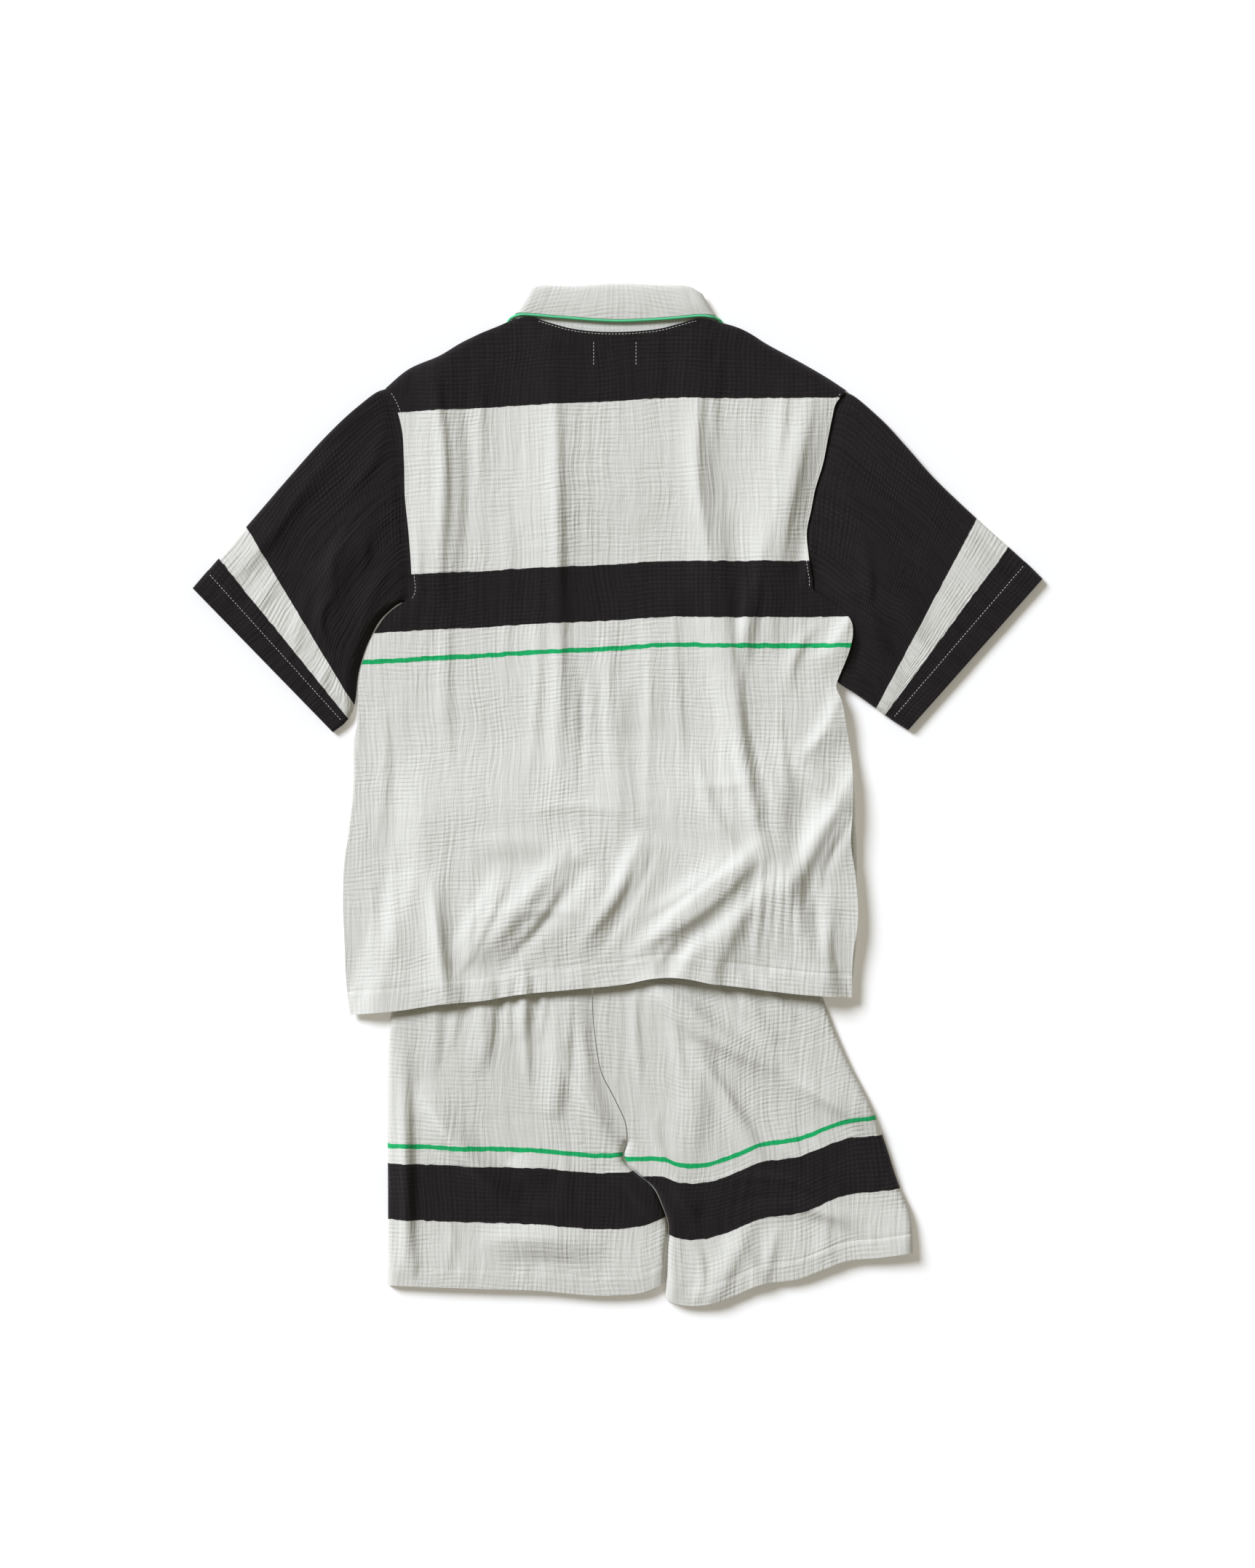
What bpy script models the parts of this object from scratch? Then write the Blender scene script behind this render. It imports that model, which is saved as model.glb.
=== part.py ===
"""A short-sleeved pyjama shirt with a piped collar, and its shorts, in cotton double gauze.

Both lie flat with the back up, and the hem of the shirt covers the waist of the shorts.
Lengths in the tables are millimetres. +X is to the right, +Y is towards the collar and +Z is up
from the surface that the set lies on. Left and right are the viewer's."""

import math

import bpy
import numpy as np
from mathutils import Vector
from mathutils.geometry import tessellate_polygon

MM = 0.001

# Cloth
WALL = 1.2
HEM_WALL = 1.9
COLLAR_WALL = 1.8
WAIST_WALL = 2.4
SEAM_GAP = 0.3
PLY_STEP = 2.1  # between the middles of two plies that touch on a slope
ARMHOLE_DROP = 0.45  # how much further a sleeve lies below the back at its seam
REST = WALL / 2  # middle of a ply that lies on the surface
HEM_DEPTH = 25.0
LEG_HEM_DEPTH = 21.0
CUFF_SHARE = 0.905  # of a sleeve's length, up to the top of its hem

# Trim
PIPING_RADIUS = 1.4
BUTTON_RADIUS = 7.0
BUTTON_THICKNESS = 2.4
BUTTON_PITCH = 80.0
BUTTON_TOP_Y = 326.0
BUTTON_COUNT = 5

# Waist of the shorts, under the shirt
WAIST_TOP_Y = -45.0
WAIST_SEAM_Y = -78.0
WAIST_LEFT_X = -192.0
WAIST_RIGHT_X = 170.0
WAIST_HEIGHT = 6.4
BACK_RAMP = 104.0  # length over which the back of the shirt climbs onto the waist
FRONT_RAMP = 24.0

# Mesh density
BACK_COLUMNS = 28
BACK_ROWS = 27
FRONT_ROWS = 17
SLEEVE_POINTS = 8
LEG_COLUMNS = 12
COLLAR_ROWS = [0, 0.05, 0.1, 0.155, 0.21, 0.25, 0.275, 0.3, 0.32, 0.34, 0.36, 0.38, 0.41, 0.455]

# Side edges of the back panel: the side seam, then the armhole, from the hem up
BACK_LEFT = [  # y, x
    (-233, -283.5), (-206, -287.5), (-166, -289.5), (-107, -291.5), (-65, -289.5), (-35, -284),
    (12, -278.5), (59, -276.5), (96, -276), (120, -275), (134, -273), (150, -268), (166, -262),
    (180, -254), (193, -244), (201, -234), (207, -223), (214, -218.5), (231, -218.5),
    (278, -221.5), (318, -225.5), (355, -226.5),
    (398, -230.5), (420, -238.5), (433, -246.5),
]
BACK_RIGHT = [
    (-215, 249), (-172, 250), (-136, 255), (-83, 252.5), (-53, 248), (-17, 249.5), (41, 248.5),
    (71, 243.5), (101, 238), (117, 232.5), (126, 235.5), (143, 242.5), (160, 248), (174, 250),
    (185, 248), (196, 240), (206, 227), (216, 210.5), (231, 207), (258, 203), (281, 201.5),
    (303, 206), (324, 210), (352, 218.5), (380, 224), (402, 228.5), (417, 232.5), (431, 243.5),
]
BACK_HEM = [  # x, y
    (-284, -233.5), (-227, -228), (-185, -221.5), (-144, -218), (-108, -212), (-49, -206),
    (10, -200), (40, -194), (70, -194), (99, -199.5), (129, -203), (188, -210.5), (250, -215),
]
BACK_TOP = [  # x, y: shoulder, neck seam, shoulder
    (-246.5, 433), (-227, 450), (-185, 470), (-168, 480.5), (-126, 499), (-108, 506.3), (-93, 508.3),
    (-74, 503), (-51, 496.5), (-25, 493), (0, 492.3), (24, 493.4), (48, 496.4), (65, 501),
    (88, 506.5), (108, 503), (129, 497), (164, 477.5), (200, 458), (227, 442), (243.5, 431),
]
# How high the back panel stands above the front: at its left edge, middle and right edge
BACK_HEIGHTS = [  # y, left, middle, right
    (-225, 4.5, 5.0, 9.0), (-150, 6.5, 8.5, 13.0), (-60, 6.5, 9.5, 12.0), (60, 6.0, 9.5, 11.0),
    (130, 5.0, 9.5, 12.0), (175, 5.0, 9.5, 12.5), (230, 6.5, 9.5, 10.0), (330, 7.5, 9.5, 8.5),
    (430, 7.0, 8.5, 7.5), (510, 7.0, 8.0, 7.5),
]
SHOULDER_ROLL = 9.0

# Front panels: where the side starts to turn up, and how much of that turn there is
FRONT_LEFT = [  # y, x, turn
    (-233, -279, 1), (-166, -284, 1), (-65, -286, 1), (12, -279, 1), (59, -278, 1), (96, -270, 0.6),
    (130, -267, 0.02), (165, -255, 0.02), (198, -231, 0.02), (231, -217, 0.02), (318, -223, 0.02),
    (398, -228, 0.02), (433, -238, 0.02),
]
FRONT_RIGHT = [
    (-215, 244, 1), (-136, 248, 1), (-83, 248, 1), (-17, 244, 1), (41, 242, 1), (71, 236, 0.8),
    (101, 226, 0.2), (130, 220, 0.02), (174, 212, 0.02), (216, 207, 0.02), (281, 200, 0.02),
    (352, 216, 0.02), (402, 226, 0.02), (431, 234.5, 0.02),
]
FRONT_CENTRE = [(-235, -14), (0, -8), (400, 0)]  # y, x
PLACKET_HALF = 15.0
PLACKET_FLAT = 8.0  # from its middle, the part that lies level over the buttons
NECKLINE = [  # distance from the middle, y
    (15, 386), (38, 410), (62, 440), (78, 466), (88, 488), (96, 500.5), (112, 502.5),
]
FRONT_SIDE_STRIP = 8.0  # how far the front reaches under the back at the side seam
FRONT_ARM_STRIP = 4.0  # its last columns, where the edge lies flat below the sleeve
EDGE_INSET = 2.2  # between a rolled edge and the ply that ends inside it

# Sleeves as flattened tubes: upper edge, lower edge, bow of the line between them, height
LEFT_SLEEVE = [  # share, upper x, upper y, lower x, lower y, bow, height
    (0.00, -239, 426, -212, 208, 8, 3.4), (0.07, -254, 428, -229, 206, 7, 7.0),
    (0.16, -276, 413, -247, 193, 5, 9.0), (0.32, -311, 380, -264, 166, 3, 10.0),
    (0.48, -346, 341, -275, 134, 0, 10.0), (0.66, -384, 297, -279, 103, 0, 9.0),
    (0.80, -411, 266, -283, 87, 0, 8.0), (0.91, -436, 237.5, -291, 77, 0, 7.0),
    (1.00, -451, 220, -303, 68, 0, 6.0),
]
RIGHT_SLEEVE = [
    (0.00, 236, 424, 208, 141, -29, 3.4), (0.07, 251, 425, 222, 131, -21, 6.5),
    (0.16, 277, 403, 236, 120, -11, 8.5), (0.32, 307, 371, 250, 111, -4, 9.5),
    (0.48, 336, 338, 261, 103.5, 0, 9.5), (0.62, 366, 309, 270, 97, 0, 9.0),
    (0.78, 399, 279, 281, 89, 0, 8.0), (0.90, 432.5, 249, 291, 82, 0, 7.0),
    (1.00, 452, 230, 310, 70, 0, 6.5),
]

# Collar from its left point round the back of the neck to its right point. A stand rises from
# the neck seam at its base, folds over, and comes back as the leaf. The turn is 90 degrees where
# the leaf lies on top of the back and -90 where it lies under the front.
COLLAR = [  # share, turn, base x, base y, fold x, fold y, leaf x, leaf y
    (0.00, -90, -18, 391, -13, 398, -80, 374), (0.07, -90, -42, 419, -31, 427, -98, 400),
    (0.14, -90, -65, 449, -52, 456, -113, 430), (0.21, -90, -80, 475, -68, 484, -120, 462),
    (0.27, -88, -86, 490, -79, 503, -119, 487), (0.305, -62, -86, 497, -87, 517, -115, 502),
    (0.335, 0, -83, 500, -92, 528, -108.8, 511), (0.365, 62, -80, 500.5, -88.5, 536, -103, 513),
    (0.40, 88, -72, 497.5, -80, 539, -91, 512.5), (0.45, 90, -46, 489, -46, 538.5, -56, 509.5),
    (0.50, 90, 0, 486, 0, 541, 0, 506), (0.55, 90, 44, 489.5, 45, 539.5, 54, 508.5),
    (0.60, 88, 68, 496, 74, 538.5, 86, 511.5), (0.635, 62, 77, 500, 83, 533, 98, 511),
    (0.665, 0, 80, 500, 89, 526, 104.8, 509), (0.695, -62, 83, 497, 84.5, 515, 111, 500),
    (0.73, -88, 84, 490, 77, 501, 116, 486), (0.79, -90, 79, 475, 67, 483, 118, 462),
    (0.86, -90, 65, 449, 52, 456, 112, 430), (0.93, -90, 42, 419, 31, 427, 98, 400),
    (1.00, -90, 18, 391, 13, 398, 80, 374),
]
STAND_LEVEL = (4.86, 1.86)  # middle of the stand: halfway up, and how much the turn adds
COLLAR_TURN = (1.66, 0.62)  # radius of the fold of the collar, likewise
COLLAR_OUT = (0.75, 0.66)  # the way the leaf wraps round the end of the shoulder

# Legs of the shorts: outer edge and inner edge, from the hem up
LEG_LEFT_OUTER = [  # y, x
    (-522, -243.5), (-419, -243.5), (-333, -244), (-290, -243.5), (-232, -240), (-200, -233),
    (-160, -220), (-120, -205), (-78, -190),
]
LEG_LEFT_INNER = [
    (-518, 50), (-479, 52), (-458, 53.5), (-436, 46.5), (-414, 34), (-402, 19), (-391, 8),
    (-382, 5.5), (-372, 8.5), (-350, 8.5), (-324, -2.5), (-294, -17.5), (-268, -22.5),
    (-238, -26), (-203, -27), (-78, -24),
]
LEG_RIGHT_OUTER = [
    (-486, 314.5), (-444, 311.5), (-414, 299), (-367, 283.5), (-328, 268.5), (-286, 247),
    (-247, 230), (-214, 218), (-160, 198), (-120, 184), (-78, 168),
]
LEG_RIGHT_INNER = [
    (-535, 51.5), (-518, 52.7), (-479, 54.4), (-458, 55.5), (-436, 48.7), (-414, 36.4),
    (-402, 21.6), (-391, 10.8), (-382, 7.5), (-372, 10.3), (-350, 9.8), (-324, -1.3),
    (-294, -16.3), (-268, -21.4), (-238, -24.9), (-203, -25.9), (-78, -23),
]
LEG_ROWS = [  # y of each row of points, above the hem
    -488, -466, -447, -430, -414, -402, -391, -382, -372, -352, -324, -288, -244, -196, -140, -78,
]
LEG_LEFT_HEM = [(-243.5, -521), (-153, -524), (-88, -526), (-2, -531), (30, -527), (50, -518)]
LEG_RIGHT_HEM = [
    (50, -535), (64, -540.5), (88, -542), (127, -530.5), (148, -521), (191, -514), (247, -494),
    (278, -491), (315, -485.5),
]
LEG_HEIGHTS = [  # y, left edge, middle, right edge, over both legs
    (-540, 4.5, 5.0, 6.5), (-480, 5.5, 8.0, 9.0), (-400, 6.0, 8.5, 9.5), (-300, 6.0, 8.0, 8.5),
    (-200, 6.0, 6.5, 7.0), (-78, 6.0, 6.0, 6.0),
]
LEG_ROLL = 6.0
CROTCH_Y = -372.0

# Folds: where each crest starts, passes and ends, its width to the left and right of that
# direction, its height, and whether it runs out at full height at its start and end
BACK_FOLDS = [  # x1, y1, x2, y2, x3, y3, left, right, height, start, end
    (-204, 470, -188, 331, -208, 141, 9, 26, 5.0, 0.6, 0),
    (-78, 488, -68, 244, -62, 12, 13, 30, 4.0, 0.5, 0),
    (4, 128, 0, 60, 6, -60, 12, 18, 2.6, 0, 0),
    (88, 480, 84, 346, 104, 141, 10, 17, 3.6, 0.6, 0),
    (112, 320, 116, 175, 146, -10, 10, 26, 5.5, 0, 0.3),
    (196, 420, 160, 264, 164, 150, 12, 24, 6.0, 0.3, 0),
    (172, 60, 214, 20, 246, -18, 10, 14, 4.0, 0, 0.4),
    (236, -6, 206, -54, 182, -120, 11, 18, 6.5, 0, 0),
    (-12, -66, -24, -112, -52, -170, 11, 22, 5.0, 0, 0),
    (-78, -70, -108, -122, -146, -168, 12, 24, 5.0, 0, 0.2),
    (138, -58, 90, -112, 18, -158, 13, 26, 7.5, 0, 0),
    (152, -90, 122, -140, 98, -196, 11, 20, 5.0, 0, 0.8),
    (-196, -80, -190, -157, -183, -224, 8, 16, 3.0, 0, 0.8),
    (-168, -58, -108, -52, -36, -66, 14, 14, 2.5, 0, 0),
]
LEFT_SLEEVE_FOLDS = [
    (-296, 372, -352, 300, -410, 236, 12, 16, 3.0, 0, 0.3),
    (-246, 300, -300, 232, -300, 150, 14, 20, 4.0, 0.2, 0),
]
RIGHT_SLEEVE_FOLDS = [
    (236, 330, 286, 246, 330, 170, 12, 18, 3.6, 0.2, 0),
    (216, 214, 262, 190, 292, 120, 10, 16, 3.6, 0.2, 0.2),
    (330, 330, 372, 262, 400, 220, 12, 16, 2.4, 0, 0.3),
]
LEG_FOLDS = [
    (-234, -262, -226, -400, -216, -500, 6, 12, 3.0, 0, 0.6),
    (-208, -300, -156, -382, -104, -424, 14, 18, 5.0, 0, 0),
    (-144, -190, -142, -250, -146, -300, 7, 12, 4.0, 0.3, 0),
    (-100, -190, -100, -230, -104, -262, 7, 10, 3.6, 0.3, 0),
    (-64, -190, -64, -300, -68, -345, 8, 12, 4.5, 0.3, 0),
    (-40, -190, -34, -280, -6, -352, 8, 10, 4.0, 0.3, 0),
    (-152, -478, -82, -474, -8, -488, 14, 12, 4.0, 0, 0),
    (42, -190, 96, -246, 250, -340, 12, 24, 6.5, 0.3, 0.2),
    (70, -200, 84, -310, 62, -430, 14, 18, 4.0, 0.3, 0),
    (104, -418, 170, -410, 236, -436, 8, 8, 2.6, 0, 0),
    (116, -452, 190, -440, 262, -462, 9, 9, 2.4, 0, 0.2),
    (148, -440, 124, -490, 104, -530, 10, 14, 4.0, 0, 0.8),
    (128, -190, 150, -240, 176, -262, 8, 12, 3.0, 0.3, 0),
]

OFF_WHITE = (0.76, 0.75, 0.71)
BLACK = (0.012, 0.010, 0.011)
GREEN = (0.03, 0.40, 0.16)
SHELL_BUTTON = (0.80, 0.78, 0.72)


def through(table, at, column=1):
    """A smooth line through one column of a table, read against its first column."""
    keys = np.array([row[0] for row in table], float)
    values = np.array([row[column] for row in table], float)
    slopes = np.gradient(values, keys)
    at = np.clip(at, keys[0], keys[-1])
    i = np.clip(np.searchsorted(keys, at, side="right") - 1, 0, len(keys) - 2)
    step = keys[i + 1] - keys[i]
    t = (at - keys[i]) / step
    start = values[i] * (1 + 2 * t) * (1 - t) ** 2 + slopes[i] * step * t * (1 - t) ** 2
    return start + values[i + 1] * t * t * (3 - 2 * t) + slopes[i + 1] * step * t * t * (t - 1)


def ease(t):
    """0 before 0 and 1 after 1, with a smooth rise between."""
    t = np.clip(t, 0, 1)
    return t * t * (3 - 2 * t)


def rise(depth, radius):
    """A quarter round from 0 at an edge to 1 at radius inside it."""
    t = np.clip(depth / radius, 0, 1)
    return np.sqrt(np.maximum(1 - (1 - t) ** 2, 0))


def fold_height(x, y, fold):
    """The height that one fold adds at x, y."""
    x1, y1, x2, y2, x3, y3, left, right, height, start, end = fold
    bend_x, bend_y = 2 * x2 - (x1 + x3) / 2, 2 * y2 - (y1 + y3) / 2
    t = np.linspace(0, 1, 25)
    line_x = x1 * (1 - t) ** 2 + 2 * bend_x * t * (1 - t) + x3 * t * t
    line_y = y1 * (1 - t) ** 2 + 2 * bend_y * t * (1 - t) + y3 * t * t
    step_x, step_y = np.diff(line_x), np.diff(line_y)
    from_x, from_y = x[..., None] - line_x[:-1], y[..., None] - line_y[:-1]
    share = np.clip(
        (from_x * step_x + from_y * step_y) / (step_x**2 + step_y**2), 0, 1
    )
    off_x, off_y = from_x - share * step_x, from_y - share * step_y
    near = np.argmin(off_x**2 + off_y**2, axis=-1)[..., None]
    off_x, off_y, share = (np.take_along_axis(a, near, -1)[..., 0] for a in (off_x, off_y, share))
    near = near[..., 0]
    side = step_x[near] * off_y - step_y[near] * off_x
    width = np.where(side > 0, left, right)
    place = (near + share) / len(step_x)
    low = np.where(place < 0.5, start, end)
    along = low + (1 - low) * np.sin(math.pi * place) ** 0.8
    return height * along * np.exp(-(off_x**2 + off_y**2) / width**2)


def folds(x, y, table):
    """The height that a table of folds adds at x, y."""
    return sum(fold_height(x, y, fold) for fold in table)


def spread(x, y, table, left, right):
    """A table's left, middle and right values at a row y, read across from left to right."""
    u = np.clip((x - left) / (right - left), 0, 1)
    a, b, c = (through(table, y, column) for column in (1, 2, 3))
    return a * (1 - u) * (1 - 2 * u) + 4 * b * u * (1 - u) + c * u * (2 * u - 1)


def leg_outline(y):
    """Outer edges of the shorts at a row y."""
    return through(LEG_LEFT_OUTER, y), through(LEG_RIGHT_OUTER, y)


def leg_top(x, y):
    """Middle of the back of the shorts, before its edges turn down."""
    left, right = leg_outline(y)
    low = spread(x, y, LEG_HEIGHTS, left, right)
    return REST + low + folds(x, y, LEG_FOLDS)


def over_shorts(x, y, ramp):
    """How far a panel of the shirt is lifted by the shorts under it, at the end of its ramp."""
    left, right = leg_outline(y)
    across = ease((x - left + 54) / 40) * ease((right + 32 - x) / 30)
    up = ease((WAIST_TOP_Y + 16 + ramp - y) / ramp)
    shorts = WAIST_HEIGHT + folds(x, y, LEG_FOLDS) * ease((y + 260) / 60)
    shorts = shorts + 1.6 * ease((-180 - y) / 24)
    return across * up * (shorts + PLY_STEP + 0.6)


def over_collar(x, y):
    """How far the front of the shirt is lifted by the collar under it."""
    return 4.2 * ease((y - 328) / 16) * ease((156 - np.abs(x)) / 14)


def button_places():
    """x, y of each button on the centre front."""
    rows = [BUTTON_TOP_Y - BUTTON_PITCH * n for n in range(BUTTON_COUNT)]
    return [(float(through(FRONT_CENTRE, y)), y) for y in rows]


def over_buttons(x, y):
    """How far the placket is lifted by the row of buttons under it."""
    away = np.abs(x - through(FRONT_CENTRE, y))
    last = BUTTON_TOP_Y - BUTTON_PITCH * (BUTTON_COUNT - 1)
    along = ease((BUTTON_TOP_Y + 40 - y) / 24) * ease((y - last + 40) / 24)
    return along * ease((3 * PLACKET_FLAT - away) / (2 * PLACKET_FLAT)) * (BUTTON_THICKNESS + 0.35)


def front_top(x, y):
    """Middle of the front of the shirt."""
    lift = np.maximum(over_shorts(x, y, FRONT_RAMP), over_collar(x, y))
    return REST + np.maximum(lift, over_buttons(x, y))


def back_top(x, y):
    """Middle of the back of the shirt."""
    left, right = through(BACK_LEFT, y), through(BACK_RIGHT, y)
    depth = through(BACK_TOP, x) - y
    calm = 0.15 + 0.85 * ease(depth / 22)
    stand = spread(x, y, BACK_HEIGHTS, left, right) + folds(x, y, BACK_FOLDS) * calm
    roll = np.maximum(rise(depth, SHOULDER_ROLL), ease((112 - np.abs(x)) / 12))
    placket = 2 * PLY_STEP * ease((2 * PLACKET_HALF + 6 - np.abs(x)) / 12)
    edge = over_collar(x, y)
    lowest = np.maximum(edge, over_buttons(x, y)) + PLY_STEP + 0.3 + placket
    high = over_shorts(x, y, BACK_RAMP) + np.maximum(stand, lowest * ease(depth / 20))
    return REST + edge + (high - edge) * roll


def sheet_grid(columns, rows, left, right, bottom, top):
    """x, y of a panel whose side edges are left and right, and whose ends are bottom and top."""
    u, v = np.meshgrid(columns, rows)
    first_y = through(bottom, left[0][1]), through(bottom, right[0][1])
    last_y = through(top, left[-1][1]), through(top, right[-1][1])
    edge_left = through(left, first_y[0] + (last_y[0] - first_y[0]) * v)
    edge_right = through(right, first_y[1] + (last_y[1] - first_y[1]) * v)
    x = edge_left + (edge_right - edge_left) * u
    start_x = left[0][1] + (right[0][1] - left[0][1]) * u
    end_x = left[-1][1] + (right[-1][1] - left[-1][1]) * u
    low, high = through(bottom, start_x), through(top, end_x)
    return x, low + (high - low) * v


def clustered(count, length, edges):
    """Shares from 0 to 1, with extra lines at the given distances from each end."""
    inner = np.linspace(0, 1, count)
    ends = np.array(edges) / length
    keep = inner[(inner > ends[-1] * 1.5) & (inner < 1 - ends[-1] * 1.5)]
    return np.concatenate([ends, keep, 1 - ends[::-1]])


def normals_of(middle, closed):
    """Unit normals of a grid of points."""
    if closed:
        across = np.roll(middle, -1, axis=1) - np.roll(middle, 1, axis=1)
    else:
        across = np.gradient(middle, axis=1)
    normal = np.cross(across, np.gradient(middle, axis=0))
    return normal / np.linalg.norm(normal, axis=-1, keepdims=True)


def grid_faces(rows, columns, closed, first):
    """Quads of a grid of points that are numbered row by row from first."""
    faces = []
    for j in range(rows - 1):
        for i in range(columns if closed else columns - 1):
            k = (i + 1) % columns
            a, b = first + j * columns, first + (j + 1) * columns
            faces.append((a + i, a + k, b + k, b + i))
    return faces


def solid(name, points, faces, material):
    """One named object from points in millimetres, with its faces turned outwards."""
    points = np.asarray(points, float)
    volume = 0.0
    for face in faces:
        for second, third in zip(face[1:-1], face[2:]):
            volume += np.dot(points[face[0]], np.cross(points[second], points[third]))
    if volume < 0:
        faces = [face[::-1] for face in faces]
    mesh = bpy.data.meshes.new(name)
    mesh.from_pydata((points * MM).tolist(), [], faces)
    mesh.shade_smooth()
    mesh.set_sharp_from_angle(angle=math.radians(50))
    mesh.materials.append(material)
    made = bpy.data.objects.new(name, mesh)
    bpy.context.scene.collection.objects.link(made)
    return made


def cloth(name, middle, material, thickness=WALL, closed=False):
    """A cloth wall round a grid of points in its middle."""
    half = np.broadcast_to(np.asarray(thickness, float), middle.shape[:2])[..., None] / 2
    normal = normals_of(middle, closed)
    rows, columns = middle.shape[:2]
    count = rows * columns
    points = np.concatenate(
        [(middle + normal * half).reshape(-1, 3), (middle - normal * half).reshape(-1, 3)]
    )
    faces = grid_faces(rows, columns, closed, 0)
    faces += [face[::-1] for face in grid_faces(rows, columns, closed, count)]
    rim = [list(range(columns)), [count - columns + i for i in range(columns)]]
    if closed:
        rim = [line + line[:1] for line in rim]
    else:
        rim += [[j * columns for j in range(rows)], [(j + 1) * columns - 1 for j in range(rows)]]
    turned = [True, False, False, True]
    for line, flip in zip(rim, turned):
        for a, b in zip(line, line[1:]):
            face = (a, b, b + count, a + count)
            faces.append(face[::-1] if flip else face)
    return solid(name, points, faces, material)


def material(name, colour, roughness):
    made = bpy.data.materials.new(name)
    made.use_nodes = True
    shader = made.node_tree.nodes["Principled BSDF"]
    shader.inputs["Base Color"].default_value = (*colour, 1)
    shader.inputs["Roughness"].default_value = roughness
    shader.inputs["Metallic"].default_value = 0
    return made


def hem_rows(rows, length, depth):
    """Rows with two more at the top of the hem, and the wall of each: a hem has two layers."""
    hem = depth / length
    rows = np.concatenate([[0, hem], rows[rows > hem * 1.05]])
    rows = np.insert(rows, 2, hem + 2.5 / length)
    return rows, np.where(rows <= hem, HEM_WALL, WALL)[:, None]


def shirt_back(fabric):
    """The whole back of the shirt, one panel from side seam to side seam."""
    columns = clustered(BACK_COLUMNS, 540, [0, 6, 13])
    rows = clustered(BACK_ROWS, 720, [0, 1.5, 3.5, 7, 12])
    rows, wall = hem_rows(rows, 720, HEM_DEPTH)
    x, y = sheet_grid(columns, rows, BACK_LEFT, BACK_RIGHT, BACK_HEM, BACK_TOP)
    middle = np.stack([x, y, back_top(x, y)], axis=-1)
    return cloth("shirt_back", middle, fabric, wall)


def shirt_front(name, side, edge, fabric):
    """One front: from the placket out to the side, where it turns up to the side seam."""
    rows, wall = hem_rows(np.linspace(0, 1, FRONT_ROWS), 620, HEM_DEPTH)
    outer_y = edge[0][0] + (edge[-1][0] - edge[0][0]) * rows
    turn = ease(through(edge, outer_y, 2))
    outer_x = through(edge, outer_y) - side * FRONT_ARM_STRIP * (1 - turn)
    hem_y, neck_y = through(BACK_HEM, 0.0), NECKLINE[0][1]
    inner_x = through(FRONT_CENTRE, hem_y + (neck_y - hem_y) * rows) - side * PLACKET_HALF
    near = np.array([0, PLACKET_HALF - PLACKET_FLAT, PLACKET_HALF + PLACKET_FLAT,
                     2 * PLACKET_HALF, 2 * PLACKET_HALF + 12]) / 260
    across = np.concatenate([near, [0.28, 0.42, 0.56, 0.7, 0.83, 0.93, 1.0]])
    u, v = np.meshgrid(across, rows)
    x = inner_x[:, None] + (outer_x - inner_x)[:, None] * u
    out = np.maximum(side * x[-1], NECKLINE[0][0])
    shoulder = through(BACK_TOP, x[-1]) - EDGE_INSET - 0.6 - 4 * ease((out - 212) / 16)
    high = np.where(out > 104, shoulder, through(NECKLINE, out))
    low = through(BACK_HEM, x[0]) + 2
    y = low + (high - low) * v
    z = front_top(x, y)
    z = z + (wall - WALL) / 2
    if side > 0:
        inward = 2 * PLACKET_HALF - 3 - side * (x - through(FRONT_CENTRE, y))
        z = z + (PLY_STEP + 0.6) * ease(inward / 12)
    middle = [np.stack([x, y, z], axis=-1)]
    edge_y, edge_z = y[:, -1], z[:, -1]
    step = PLY_STEP + 0.7 + 0.9 * ease((-170 - edge_y) / 20)
    seam_z = back_top(outer_x + side * 1.0, edge_y) - step
    radius = np.maximum(seam_z - edge_z, 2.0) / 2
    for n, angle in enumerate(np.radians([-60, -25, 10, 45, 90]), 1):
        turned = outer_x + side * radius * np.cos(angle)
        flat = outer_x + side * FRONT_ARM_STRIP * n / 6
        edge_x = flat + (turned - flat) * turn
        lift = radius * (1 + np.sin(angle)) * turn
        middle.append(np.stack([edge_x, edge_y, edge_z + lift], axis=-1)[:, None])
    last_x = outer_x + side * (FRONT_ARM_STRIP - (FRONT_ARM_STRIP + FRONT_SIDE_STRIP) * turn)
    under = back_top(last_x, edge_y) - step
    last_z = edge_z + (under - edge_z) * turn
    middle.append(np.stack([last_x, edge_y, last_z], axis=-1)[:, None])
    return cloth(name, np.concatenate(middle, axis=1), fabric, wall)


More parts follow.
